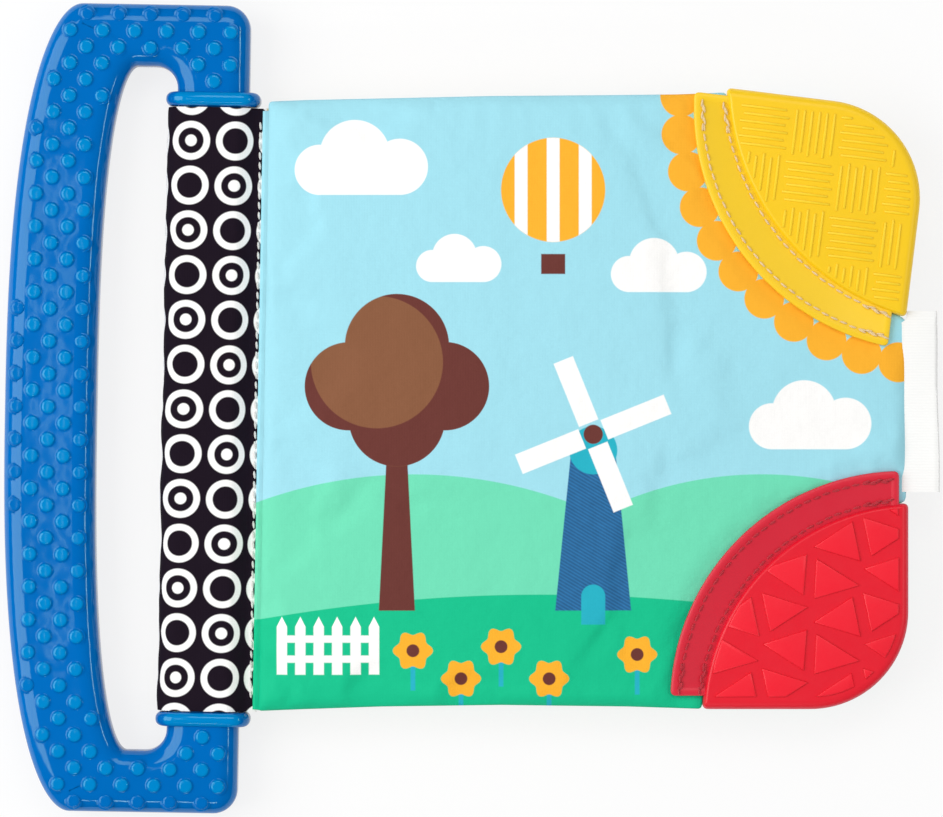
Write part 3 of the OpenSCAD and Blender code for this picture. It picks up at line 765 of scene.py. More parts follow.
class BOOK_OT_handle(BookStep):
    """Moulds the handle: the bowed bar, its bumps, the two collars and the shaft"""

    bl_idname = "book.handle"
    bl_label = "Handle"

    def build(self, colours):
        outer, inner = handle_loops()
        parts = [stack("bar", bar_levels(outer, inner)), self.bumps(bump_places(outer, inner))]
        section = rounded((-COLLAR_W / 2, -COLLAR_D / 2), (COLLAR_W / 2, COLLAR_D / 2), COLLAR_D / 3, 8)
        collar_edge = rounding(COLLAR_T * 0.45, 5)
        half = COLLAR_T * 0.05
        middle = (BAR_LEFT + BAR_RIGHT) / 2
        for side in (-1, 1):
            collar = plate("collar", [section], -half, half, collar_edge, collar_edge)
            shift = side * (COLLAR_SPAN + COLLAR_T) / 2
            parts.append(moved(collar, lambda p: np.stack([p[:, 0] + middle, shift - p[:, 2], p[:, 1]], 1)))
        section = rounded((-SHAFT_W / 2, -SHAFT_T / 2), (SHAFT_W / 2, SHAFT_T / 2), SHAFT_R, 5)
        shaft = plate("shaft", [section], -COLLAR_SPAN / 2 - 1, COLLAR_SPAN / 2 + 1)
        parts.append(moved(shaft, lambda p: np.stack([p[:, 0] + middle, -p[:, 2], p[:, 1]], 1)))
        handle = joined("moulded_handle", parts)
        moved(handle, lambda p: spine(p + (0, 0, HANDLE_MID)))
        smooth(handle, 32)
        dressed(handle, plastic(colours), "root", "handle_plastic", "handle")

    def bumps(self, places):
        """Low domes with a small flat top, on both faces."""
        height = size("bump_height")
        loop = arc((0, 0), BUMP_R, 0, 360 - 360 / 16, 15)
        profile = [(0.24, 0.05), (0.18, 0.15), (0.14, 0.33), (0.12, 0.26), (0.2, 0.17), (0.4, 0.04)]
        steps = [(inwards, up * height) for inwards, up in profile]
        pattern = plate("bump", [loop], -0.2, -0.01, steps)
        upper = [(at(x, y, z), 0) for x, y, z in places]
        over = Matrix.Rotation(math.pi, 4, "X")
        lower = [(at(x, y, -z) @ over, 0) for x, y, z in places]
        return copies("bumps", pattern, upper + lower)


# SPINE SLEEVE


def sleeve_section():
    """The sleeve's outer section in x and z, from its lower tail round the fold to its upper tail."""
    left, r = -SLEEVE_REACH, SLEEVE_FOLD_R
    line = np.concatenate(
        [
            [(0, TAIL_LOW), (-TONGUE, TAIL_LOW), (-SHOULDER, SLEEVE_LOW)],
            arc((left + r, SLEEVE_LOW + r), r, 270, 180, 8),
            arc((left + r, SLEEVE_TOP - r), r, 180, 90, 8),
            [(-SHOULDER, SLEEVE_TOP), (-TONGUE, TAIL_TOP), (0, TAIL_TOP)],
        ]
    )
    fine = along_line(line, np.linspace(0, 1, 161))
    for _ in range(5):
        fine[1:-1] = (fine[:-2] + 2 * fine[1:-1] + fine[2:]) / 4
    return fine


def sleeve_cloth(colours, length):
    """Black cloth with a checkerboard of printed rings, laid along the cloth by its own UV map."""
    finish = Finish("sleeve cloth", Roughness=0.85, Specular_IOR_Level=0.15)
    uv = Field(finish, finish.node("UVMap", {"uv_map": "UVMap"}).outputs[0])
    u, v, _ = finish.parts(uv)
    slope_extra = 0.72
    drift = (v - 0.5) * 1.7 - 0.1 + (finish.noise(uv, 3.0, 1.0) - 0.5) * 0.8
    column = ((1 - u) * length - (FIRST_RING + slope_extra) + drift) / RING_PITCH
    row = (v - 0.5) * (2 * SLEEVE_HALF_L / RING_PITCH)
    near = [(line - line.math("ROUND")) * RING_PITCH for line in (column, row)]
    away = (near[0] * near[0] + near[1] * near[1]).math("SQRT")
    even = (column.math("ROUND") + row.math("ROUND")).math("FLOORED_MODULO", 2.0)
    ring = finish.edge(abs(away - (RING_R - RING_LINE / 2)) - RING_LINE / 2)
    dot = finish.edge(away - DOT_R) * (1 - even)
    where = finish.place()
    grains = cloth_grain(finish, where)
    colour = finish.mix(ring.above(dot), colours["sleeve"], colours["white"])
    finish.set(Base_Color=finish.tinted(colour, grains, 0.9))
    return finish.bump(grains * 0.05 + finish.noise(where, 0.12, 3.0) * 1.5, 0.5, 1.0)


def thread_finish(name, colour):
    finish = Finish(name, Roughness=0.55, Sheen_Weight=0.3)
    where = finish.place()
    x, y, z = finish.parts(where)
    twist = (((x + y + z) * 12.0).math("SINE")) * 0.5 + 0.5
    finish.set(Base_Color=finish.tinted(colour, twist, 0.8))
    return finish.bump(twist, 0.08, 1.0)


class BOOK_OT_sleeve(BookStep):
    """Folds the printed sleeve round the handle's shaft and sews its two tails"""

    bl_idname = "book.sleeve"
    bl_label = "Spine sleeve"

    def build(self, colours):
        section = sleeve_section()
        length = length_of(section)

        def place(u, v):
            flat = along_line(section, u)
            before, after = (along_line(section, np.clip(u + step, 0, 1)) for step in (-0.01, 0.01))
            ahead = after - before
            out = np.stack([-ahead[:, 1], ahead[:, 0]], axis=1)
            out /= np.linalg.norm(out, axis=1)[:, None]
            d = (v - 0.5) * 2 * SLEEVE_HALF_L
            free = ease(np.minimum(u, 1 - u) / 0.1)
            waves = [noise.noise((a * 2.2, b / 13, 4.0)) + 0.6 * noise.noise((a * 5, b / 5, 9.0))
                     for a, b in zip(u, d)]
            swell = np.array(waves) * 0.5 * free + 0.25 * free - 0.1
            flat = flat + out * swell[:, None]
            return spine(np.stack([flat[:, 0], d, flat[:, 1]], axis=1))

        sleeve = grid("printed_sleeve", 96, 130, place)
        apply_modifier(sleeve, "SOLIDIFY", thickness=0.75 * MM, offset=-1)
        smooth(sleeve, 60)
        cloth = sleeve_cloth(colours, length)
        dressed(sleeve, cloth, "root", "sleeve_cloth", "spine_sleeve", "sleeve_print")

        count = int((2 * SLEEVE_HALF_L - 2 * STITCH_PITCH) / STITCH_PITCH)
        places = []
        for z in (TAIL_LOW, TAIL_TOP):
            for i in range(count):
                d = (i - (count - 1) / 2) * STITCH_PITCH
                places.append((at(-TONGUE / 2, d, z, math.pi / 2 + 0.12), 0))
        seam = copies("seam_stitches", bead(STITCH_L, STITCH_W * 1.2, size("thread") * 1.4), places)
        moved(seam, spine)
        smooth(seam)
        dressed(seam, thread_finish("white thread", colours["white_thread"]), "root", "white_thread",
                "spine_thread")


# PADDED COVERS AND LEAVES


def leaf_sides(left, inset, grow=0.0):
    """The four sides of a leaf or a cover with two round corners: bottom, top, left and right."""
    right = COVER_W - inset + grow
    low, high = inset - COVER_DOWN - grow, COVER_UP + COVER_RISE - inset + grow
    near_high = high - COVER_RISE
    lower = arc((right - LOW_CORNER_R, low + LOW_CORNER_R), LOW_CORNER_R, -90, 0, 16)
    upper = arc((right - HIGH_CORNER_R, high - HIGH_CORNER_R), HIGH_CORNER_R, 0, 90, 16)
    first, last = (seam_x(low) + left, low), (seam_x(near_high) + left, near_high)
    bottom = np.concatenate([[first], lower[:9]])
    right_side = np.concatenate([lower[8:], upper[:9]])
    top = np.concatenate([[last], upper[8:][::-1]])
    return bottom, top, np.array([first, last]), right_side


def filled(sides, u, v):
    """Points between four sides."""
    bottom, top, left, right = (np.asarray(s, float) for s in sides)
    a, b = u[:, None], v[:, None]
    corners = (1 - b) * ((1 - a) * bottom[0] + a * bottom[-1]) + b * ((1 - a) * top[0] + a * top[-1])
    across = (1 - b) * along_line(bottom, u) + b * along_line(top, u)
    return across + (1 - a) * along_line(left, v) + a * along_line(right, v) - corners


def outline_of(sides):
    bottom, top, left, right = sides
    return closed(np.concatenate([bottom, right[1:], top[::-1][1:], left[::-1][1:-1]]))


def swollen(obj, held, cap):
    """Blows a padded piece up as cloth, so that it puckers, and caps how far a point moves."""
    rest = points_of(obj)
    group = obj.vertex_groups.new(name="seam")
    group.add([int(i) for i in np.flatnonzero(held)], 1.0, "REPLACE")
    clear()
    obj.select_set(True)
    bpy.context.view_layer.objects.active = obj
    cloth = obj.modifiers.new("Cloth", "CLOTH")
    cloth.settings.quality = 4
    cloth.settings.use_pressure = True
    cloth.settings.uniform_pressure_force = 4
    cloth.settings.effector_weights.gravity = 0
    cloth.settings.vertex_group_mass = "seam"
    cloth.settings.shrink_min = -0.03
    cloth.settings.bending_stiffness = 0.2
    cloth.collision_settings.use_collision = False
    cloth.point_cache.frame_end = 20
    for step in range(1, 21):
        bpy.context.scene.frame_set(step)
    bpy.ops.object.modifier_apply(modifier=cloth.name)
    bpy.context.scene.frame_set(1)
    moves = points_of(obj) - rest
    far = np.linalg.norm(moves, axis=1)
    set_points(obj, rest + moves * np.minimum(1, cap / np.maximum(far, 1e-9))[:, None])
    obj.vertex_groups.clear()


def quilt(name, sides, lower_sides, mid, half_of, cells, seed, cap=0.5, pucker=1.0):
    """A padded form between two cloths. half_of gives the half thickness from the distance to the seam
    and the place."""
    obj = grid(name, cells[0], cells[1], lambda u, v: np.column_stack([filled(sides, u, v), 0 * u]))
    share = np.empty(len(obj.data.loops) * 2)
    obj.data.uv_layers[0].data.foreach_get("uv", share)
    corner = np.empty(len(obj.data.loops), int)
    obj.data.loops.foreach_get("vertex_index", corner)
    count = len(obj.data.vertices)
    uv = np.empty((count, 2))
    uv[corner] = share.reshape(-1, 2)
    apply_modifier(obj, "SOLIDIFY", thickness=MM, offset=0)
    points = points_of(obj)
    over = points[:, 2] > 0
    first_over = bool(over[:count].mean() > 0.5)
    flat = [filled(s, uv[:, 0], uv[:, 1]) for s in (sides, lower_sides)]
    halves = flat if first_over else flat[::-1]
    plane = np.concatenate(halves)
    line = outline_of(sides)
    depth, along = to_line(plane, line)
    depth = np.where(inside(plane, line), depth, 0)
    half = half_of(depth, plane)
    full = half.max()
    held = (depth < 0.8) | (half < 0.5)
    waves = np.array(
        [
            noise.noise((s / 4.2, seed, 0.5)) + 0.7 * noise.noise((s / 9.5, seed + 7.0, 2.5))
            for s in along
        ]
    )
    slow = np.array([noise.noise((x / 24, y / 24, seed)) for x, y in plane])
    deep = size("pucker") * pucker
    drop = deep * (np.abs(waves) * np.exp(-depth / 8) * ease(depth / 2.5) + 0.35 * (0.5 + slow))
    half = np.maximum(half - drop * half / full, np.minimum(half, size("hem_height") / 2))
    z = np.where(over, half, -half)
    set_points(obj, block(np.column_stack([plane, mid + z])))
    swollen(obj, held, cap)
    apply_modifier(obj, "SUBSURF", levels=1, render_levels=1)
    smooth(obj)
    return obj


def puffed(full, width=None, hem=None):
    """Half thickness that rises in a quarter round from the seam."""

    def half_of(depth, plane):
        wide = size("puff_width") if width is None else width
        low = size("hem_height") / 2 if hem is None else hem
        return low + (full - low) * np.sqrt(1 - (1 - np.clip(depth / wide, 0, 1)) ** 2)

    return half_of


def painted(finish, layers, ground):
    """Lays masks over a ground colour, one after the other."""
    return reduce(lambda under, layer: finish.mix(finish.edge(layer[0]), under, layer[1]), layers, ground)


def merged(*fields):
    return reduce(lambda a, b: a.below(b), fields)


class Drawing:
    """Distance fields of flat shapes on the cloth, in the block frame."""

    def __init__(self, finish, flat):
        self.finish, self.flat = finish, flat
        self.x, self.y, _ = finish.parts(flat)

    def disc(self, x, y, radius):
        return self.finish.distance(self.flat, (x, y, 0)) - radius

    def box(self, x, y, half_x, half_y):
        return (abs(self.x - x) - half_x).above(abs(self.y - y) - half_y)

    def cloud(self, x, y, scale):
        return merged(
            self.disc(x - 9 * scale, y, 5 * scale),
            self.disc(x - 2 * scale, y + 3 * scale, 7 * scale),
            self.disc(x + 7 * scale, y + 0.6 * scale, 5.6 * scale),
            self.box(x - scale, y - 2 * scale, 8 * scale, 3 * scale),
        )

    def tower(self, x, y, foot, head, height):
        """A tapered upright."""
        slope = (foot - head) / height
        side = abs(self.x - x) + (self.y - y) * slope - foot
        return side.above(-(self.y - y)).above(self.y - (y + height))

    def flower(self, x, y, petals=6):
        """Six petals about a place."""
        dx, dy = self.x - x, self.y - y
        turn = self.finish.math("ARCTAN2", dy, dx)
        return (dx * dx + dy * dy).math("SQRT") - (4.45 + (turn * float(petals)).math("COSINE") * 0.55)

    def sails(self, x, y, turn):
        """Four arms about a hub: the quarter turns are folded on one another."""
        c, s = math.cos(turn), math.sin(turn)
        dx, dy = self.x - x, self.y - y
        a, b = abs(dx * c + dy * s), abs(dy * c - dx * s)
        return (abs(a.above(b) - 11.5) - 8.5).above(a.below(b) - 2.6)

    def fence(self, x, y, count, pitch, half_w, height):
        middle = x + half_w + pitch * (count - 1) / 2
        along = self.x - (x + half_w)
        near = abs(along.folded(pitch))
        reach = abs(self.x - middle) - (pitch * (count - 1) / 2 + half_w)
        top = self.y - (y + height + 2.5) + near * (2.5 / half_w)
        pale = (near - half_w).above(top).above(y - self.y)
        rails = [self.box(middle, y + rail, pitch * (count - 1) / 2, 0.9) for rail in (3.9, 8.9)]
        return merged(pale, *rails).above(reach)

    def petals(self, corner, out, radius, start, step, count):
        """Round petals about a chewable corner's flange."""
        cx, cy = corner.place([corner.flange_c])[0]
        dx, dy = self.x - cx, self.y - cy
        away = (dx * dx + dy * dy).math("SQRT")
        turn = self.finish.math("ARCTAN2", -dy, -dx) * (180 / math.pi) + 180
        turn = turn - (start + corner.turn)
        off = (turn.folded(step)) * (math.pi / 180)
        far = corner.flange_r + out
        gap = (away * off.math("SINE"), away * off.math("COSINE") - far)
        field = (gap[0] * gap[0] + gap[1] * gap[1]).math("SQRT") - radius
        band = abs(turn - step * (count - 1) / 2) - step * count / 2
        return field.above(band)


def front_picture(colours, lined=True):
    """Colour of the front cover: a meadow with a tree, a mill, a balloon and flowers, and its lining."""

    def colour_of(finish, flat, solid):
        d = Drawing(finish, flat)
        grain = finish.noise(flat, 0.5, 2.0)
        hills = merged(d.disc(38, -128, 112), d.disc(125, -108, 92))
        ground = d.disc(70, -446, 400)
        clouds = merged(*[d.cloud(*c) for c in CLOUDS])
        tx, ty = TREE
        crown = merged(
            d.disc(tx, ty + 66, 13), d.disc(tx - 12, ty + 56, 11), d.disc(tx + 12, ty + 56, 11),
            d.disc(tx, ty + 48, 12),
        )
        shade = crown.above(3.0 - d.disc(tx - 5, ty + 62, 13.5))
        mx, my = MILL
        tower = d.tower(mx, my, 9.5, 5.5, 40)
        weave = ((d.x + d.y * 1.7) * 4.2).math("SINE") * 0.5 + 0.5
        denim = finish.tinted(colours["blue"], weave * 0.6 + grain * 0.4, 0.45)
        door = merged(d.box(mx, my, 3, 3.5), d.disc(mx, my + 3.5, 3))
        bx, by = BALLOON
        balloon = d.disc(bx, by, 13)
        stripes = (abs((d.x - bx).folded(8.0)) - 1.6).above(balloon)
        stems = merged(*[d.box(x, y - 6, 0.6, 4) for x, y in FLOWERS])
        hearts = merged(*[d.disc(x, y, 1.6) for x, y in FLOWERS])
        petals = d.petals(YELLOW, 3.4, 5, 176, 8.4, 12)
        layers = (
            (hills, colours["mint"]),
            (ground, colours["green"]),
            (clouds, colours["white"]),
            (d.tower(tx, ty, 4.5, 2.5, 40), colours["bark"]),
            (crown, colours["brown"]),
            (shade, colours["bark"]),
            (d.box(bx, by - 18.5, 3, 2.5), colours["bark"]),
            (tower, denim),
            (merged(d.disc(mx, my + 40, 6), door), colours["teal"]),
            (d.sails(mx, my + 44, math.radians(22)), colours["white"]),
            (d.disc(mx, my + 44, 2.4), colours["bark"]),
            (balloon, colours["orange"]),
            (stripes, colours["white"]),
            (d.fence(4, -66, 6, 4.6, 1.3, 12), colours["white"]),
            (stems, colours["teal"]),
            (merged(*[d.flower(x, y) for x, y in FLOWERS]), colours["orange"]),
            (hearts, colours["bark"]),
            (petals, colours["orange"]),
        )
        face = painted(finish, layers, colours["sky"])
        if not lined:
            return face
        low = finish.parts(solid)[2] - (FRONT_MID - 0.2)
        lining = page_picture(colours, "peach", "orange", "mint")(finish, flat, solid)
        return finish.mix(finish.edge(low, 0.3), face, lining)

    return colour_of


def page_picture(colours, ground, hill, dots):
    """A plain page: two hills and a scatter of round flowers on a ground colour."""

    def colour_of(finish, flat, solid):
        d = Drawing(finish, flat)
        hills = merged(d.disc(46, -118, 96), d.disc(128, -132, 104))
        near = [line.folded(26.0) for line in (d.x - 14, d.y - 3)]
        away = (near[0] * near[0] + near[1] * near[1]).math("SQRT")
        ring = abs(away - 4.6) - 1.3
        spot = away - 1.7
        edge = d.box(COVER_W / 2, 1, 68, 60)
        layers = (
            (hills, colours[hill]),
            (merged(ring, spot).above(edge), colours[dots]),
        )
        return painted(finish, layers, colours[ground])

    return colour_of


def front_sides(grow=0.0):
    """The front cover's four sides, cut back along the two chewable corners."""
    top = np.array(FRONT_TOP_EDGE) + (0, grow)
    bottom = np.array(FRONT_LOW_EDGE) - (0, grow)
    red, yellow = RED.body_disc(), YELLOW.body_disc()

    def meets(disc, y):
        (cx, cy), r = disc
        return cx - math.sqrt(r * r - (y - cy) ** 2)

    def turn_to(disc, point):
        return math.degrees(math.atan2(point[1] - disc[0][1], point[0] - disc[0][0])) % 360

    right = COVER_W + grow
    low_end = (meets(red, bottom[-1][1]), bottom[-1][1])
    high_end = (meets(yellow, top[-1][1]), top[-1][1])
    drop = [math.sqrt(r * r - (right - c[0]) ** 2) for c, r in (red, yellow)]
    low_turn, high_turn = (right, red[0][1] + drop[0]), (right, yellow[0][1] - drop[1])
    lower = arc(*red, turn_to(red, low_end), turn_to(red, low_turn), 24)
    upper = arc(*yellow, turn_to(yellow, high_turn), turn_to(yellow, high_end), 24)
    bottom[-1], top[-1] = low_end, high_end
    return bottom, top, np.array([bottom[0], top[0]]), np.concatenate([lower, upper])


class BOOK_OT_covers(BookStep):
    """Sews the padded covers, the two inner leaves and the tapes that hinge the covers on the spine"""

    bl_idname = "book.covers"
    bl_label = "Covers and leaves"

    def build(self, colours):
        plain = puffed(COVER_HALF)

        def front_half(depth, plane):
            """Flat between the flanges, and full away from them."""
            half = plain(depth, plane)
            for corner in (YELLOW, RED):
                centre, radius = corner.flange_disc()
                out = np.linalg.norm(plane - centre, axis=1) - radius
                slot = 0.42
                half = slot + (half - slot) * np.where(out < 0, 0, np.sqrt(ease((out + 0.5) / 6)))
            return half

        front = quilt("front_cover_pad", front_sides(), front_sides(0.75), FRONT_MID, front_half,
                      (80, 84), 1.7)
        front_cloth = cloth_finish("front cloth", front_picture(colours))
        prints = [f"cover_print_{ink}" for ink in PRINT_INKS]
        dressed(front, front_cloth, "front_cover", "front_cloth", "front_cover_face",
                "front_cover_lining", "front_cover_padding", *prints)

        back_sides = leaf_sides(0.5, 0.0)
        back = quilt("back_cover_pad", back_sides, back_sides, BACK_MID, plain, (72, 76), 5.1)
        back_cloth = cloth_finish("back cloth", page_picture(colours, "sky_back", "green", "white"))
        dressed(back, back_cloth, "back_cover", "back_cloth", "back_cover_face",
                "back_cover_lining", "back_cover_padding")

        leaves = []
        for mid, seed in zip(LEAF_MIDS, (8.3, 11.9)):
            sides = leaf_sides(0.2 - TONGUE, LEAF_INSET)
            leaf_half = puffed(LEAF_HALF, 3.0, 0.4)
            name = f"leaf_{len(leaves)}"
            leaves.append(quilt(name, sides, sides, mid, leaf_half, (60, 64), seed, 0.12, 0.5))
        leaf_pair = joined("inner_leaves", leaves)
        dressed(leaf_pair, cloth_finish("leaf cloth", page_picture(colours, "butter", "mint", "orange")),
                "root", "leaf_cloth", "page_block")

        tape_cloth = cloth_finish("tape cloth", front_picture(colours, False))
        self.tape("front_hinge_tape", "front_cover", "front_cloth", TAIL_TOP, FRONT_MID, tape_cloth)
        self.tape("back_hinge_tape", "back_cover", "back_cloth", TAIL_LOW, BACK_MID, back_cloth)

    def tape(self, name, body, slot, low, mid, finish):
        """A strip of cloth from the sleeve's tail to a cover's hem."""
        up = 1 if mid > low else -1
        tail = [(-0.9, low + 0.1 * up), (-0.2, low + 0.3 * up)]
        line = tail + [(0.35, (low + mid) / 2), (0.9, mid - 0.3 * up), (2.2, mid)]
        fine = along_line(line, np.linspace(0, 1, 41))
        for _ in range(12):
            fine[1:-1] = (fine[:-2] + 2 * fine[1:-1] + fine[2:]) / 4

        def place(u, v):
            flat = along_line(fine, u)
            return spine(np.stack([flat[:, 0], (v - 0.5) * 2 * (SLEEVE_HALF_L - 0.6), flat[:, 1]], axis=1))

        strip = grid(name, 24, 60, place)
        apply_modifier(strip, "SOLIDIFY", thickness=0.4 * MM, offset=0)
        smooth(strip, 60)
        strip.data.materials.clear()
        strip.data.materials.append(finish.material)
        ends = spine([(0, 0, low), (0, 0, mid)]) * MM
        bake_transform(strip)


# CHEWABLE CORNERS


class Corner:
    """A chewable corner's own frame: its sides run towards -x and -y from its centre."""

    def __init__(self, centre, turn, flip, body_r, flange_r, flange_sides):
        self.centre, self.turn, self.flip = centre, turn, flip
        self.body_r, self.flange_r, self.flange_sides = body_r, flange_r, flange_sides
        self.body_c = self.arc_centre(CORNER_SIDE, body_r)
        self.flange_c = self.arc_centre(CORNER_SIDE + FLANGE_W, flange_r)

    def arc_centre(self, length, radius):
        out = CORNER_R + (math.sqrt(2 * radius * radius - length * length) - length) / 2
        return np.array((out, out))

    def place(self, points):
        """From the corner's own frame to the block frame."""
        out = np.array(points, float)
        x, y = out[..., 0].copy(), out[..., 1] * self.flip
        turn = math.radians(self.turn)
        out[..., 0] = x * math.cos(turn) - y * math.sin(turn) + self.centre[0]
        out[..., 1] = x * math.sin(turn) + y * math.cos(turn) + self.centre[1]
        return out

    def body_disc(self):
        return self.place([self.body_c])[0], self.body_r

    def flange_disc(self):
        return self.place([self.flange_c])[0], self.flange_r

    def outline(self, centre, radius, sides, corner_r, tip_r, steps=44):
        """Anticlockwise: a round corner, two straight sides, and the arc of a disc with rounded tips."""
        (side_x, side_y), (cx, cy) = sides, centre
        high = np.array((cx - math.sqrt(radius**2 - (side_y - cy) ** 2), side_y))
        low = np.array((side_x, cy - math.sqrt(radius**2 - (side_x - cx) ** 2)))
        cut = max(1.15 * tip_r, 0.15)
        turns = [math.degrees(math.atan2(y - cy, x - cx)) % 360 for x, y in (high, low)]
        step = math.degrees(cut / radius)
        disc = arc(centre, radius, turns[0] + step, turns[1] - step, steps)
        share = np.linspace(0, 1, 6)[:-1, None]
        tips = []
        for start, tip, end in ((high + (cut, 0), high, disc[0]), (disc[-1], low, low + (0, cut))):
            tips.append((1 - share) ** 2 * start + 2 * share * (1 - share) * tip + share**2 * end)
        middle = (side_x - corner_r, side_y - corner_r)
        corner = arc(middle, corner_r, 0, 90, 24)
        return np.concatenate([corner, tips[0], disc[:-1], tips[1], [low + (0, cut)]])

    def body_loop(self, inset=0.0):
        side = CORNER_R - inset
        return self.outline(self.body_c, self.body_r - inset * 0.5, (side, side), side, TIP_R - inset)

    def flange_loop(self, inset=0.0):
        sides = [side - inset for side in self.flange_sides]
        corner_r = CORNER_R - FLANGE_END - inset
        return self.outline(self.flange_c, self.flange_r - inset, sides, corner_r, TIP_R - inset, 72)

    def relief_loop(self, more=0.0):
        sides = [CORNER_R - inset - more for inset in RELIEF_SIDES]
        return self.outline(self.body_c, self.body_r - RELIEF_ARC - more, sides, sides[1], 0, 44)


YELLOW = Corner((140.2, 53.0), -7, 1, 61.5, 60.7, (20.8, 22.5))
RED = Corner((137.3, -50.2), 0, -1, 53.5, 58, (22.1, 21.1))


def both_faces(obj):
    """Adds the mirror image below the corner's own middle."""
    clear()
    obj.select_set(True)
    bpy.context.view_layer.objects.active = obj
    bpy.ops.object.duplicate()
    other = bpy.context.object
    moved(other, lambda p: p * (1, 1, -1))
    return [obj, turned_out(other)]


def corner_solid(corner):
    """The chewable body and its two flanges, with a rim and a shallow channel on each flange."""
    body = pebble("body", corner.body_loop, CORNER_T / 2, CORNER_EDGE_R, CORNER_EDGE_R, 6)
    rim = [(0, COVER_HALF - FLANGE_T), (0, COVER_HALF - 0.55), (0.12, COVER_HALF - 0.2), (0.5, COVER_HALF),
           (1.5, COVER_HALF), (1.9, COVER_HALF - 0.22)]
    flange = stack("flange", [(corner.flange_loop(inset), z) for inset, z in rim])
    return [body, *both_faces(flange)]


def weave_ridges(corner):
    """Rounded ridges in tiles that turn by a quarter from one to the next."""
    hull = corner.relief_loop(WEAVE_RIDGE_W / 2)
    tiles = math.ceil(CORNER_SIDE / WEAVE_TILE)
    places = []
    for i in range(-tiles, 3):
        for j in range(-tiles, 3):
            cx, cy = WEAVE_START[0] + i * WEAVE_TILE, WEAVE_START[1] + j * WEAVE_TILE
            across = (i + j + 1) % 2
            for k in range(WEAVE_RIDGES):
                shift = (k + 0.5 - WEAVE_RIDGES / 2) * WEAVE_PITCH
                half = WEAVE_TILE * 0.455 - WEAVE_RIDGE_W / 2
                slide = 0.4 * (-1) ** k
                ends = np.array([(slide - half, shift), (slide + half, shift)])
                if across:
                    ends = np.stack([-ends[:, 1], ends[:, 0]], axis=1)
                line = along_line(ends + (cx, cy), np.linspace(0, 1, 61))
                kept = line[inside(line, hull)]
                if len(kept) < 4:
                    continue
                middle, run = (kept[0] + kept[-1]) / 2, math.dist(kept[0], kept[-1])
                turn = math.pi / 2 if across else 0
                places.append((at(*middle, CORNER_T / 2, turn), run))
    return copies("ridges", bead(WEAVE_RIDGE_W, WEAVE_RIDGE_W, 1.3 * size("ridge_height"), 0.8), places)


def raised_triangles(corner):
    """Flat triangles with soft edges, cut by a line along the corner's outline."""
    hull = corner.relief_loop()
    loops = []
    for i in range(-3, 3):
        for j in range(-3, 4):
            for triangle in TRIANGLES:
                moved_to = [(x + i * TRIANGLE_CELL[0], -(y + j * TRIANGLE_CELL[1])) for x, y in triangle]
                loop = clipped(moved_to, hull)
                if loop:
                    area = sum(a[0] * b[1] - a[1] * b[0] for a, b in zip(loop, loop[1:] + loop[:1])) / 2
                    if abs(area) > 2.0:
                        loops.append(np.array(loop if area > 0 else loop[::-1]))
    base, high = CORNER_T / 2, CORNER_T / 2 + size("ridge_height")
    levels = ((0, base - 0.3), (0.05, high - 0.2), (0.16, high - 0.06), (0.34, high))
    solids = [stack("triangle", [(shrunk(loop, by), z) for by, z in levels]) for loop in loops]
    return joined("triangles", solids)


def stitch_row(corner, centre, radius, shift, z):
    """Places of the stitches along an arc, with a few sewn back over each end."""
    r = radius + shift
    tilt = math.degrees(math.asin((CORNER_R - 4.4 - centre[0]) / r))
    sweep = 90 + 2 * tilt
    count = int(math.radians(sweep) * r / STITCH_PITCH)
    places = []
    for i in range(count):
        turn = math.radians(180 - tilt + (i + 0.5) * sweep / count)
        wobble = 0.08 * math.sin(2.3 * i)
        spot = centre + (r + wobble) * np.array((math.cos(turn), math.sin(turn)))
        places.append((at(*spot, z, turn + math.pi / 2 + 0.06), 0))
    for end in (-1, 1):
        for k in range(5):
            turn = math.radians(225 + end * (sweep / 2 + math.degrees((k * 1.5 - 6.2) / r)))
            spot = centre + (r + 0.28 * (-1) ** k) * np.array((math.cos(turn), math.sin(turn)))
            places.append((at(*spot, z + 0.12, turn + math.pi / 2 - 0.15 * (-1) ** k), 0))
    return places


def rubber(name, colour, raised, flange):
    """Soft chewable rubber with painted light: the raised pattern's tops get a lighter painted highlight,
    and the flanges a washed-out painted reflection.
    """
    finish = Finish(name, Coat_Roughness=0.3)
    where = finish.place()
    _, _, z = finish.parts(where)
    away = abs(z - FRONT_MID)
    # Painted highlight: the tops of the raised pattern are painted in the lighter colour.
    colour = finish.mix(finish.edge(CORNER_T / 2 + 0.2 - away, 0.25), colour, raised)
    # Painted reflection: the flanges are painted in a washed-out shade of the rubber.
    colour = finish.mix(finish.edge(away - (COVER_HALF + 0.25), 0.3), colour, flange)
    colour = finish.tinted(colour, finish.noise(where, 0.06, 2.0), 0.93)
    finish.set(Base_Color=colour, Roughness=finish.noise(where, 0.3, 2.0) * 0.12 + 0.34)
    return finish.bump(finish.noise(where, 0.9, 3.0), 0.03, 1.0)


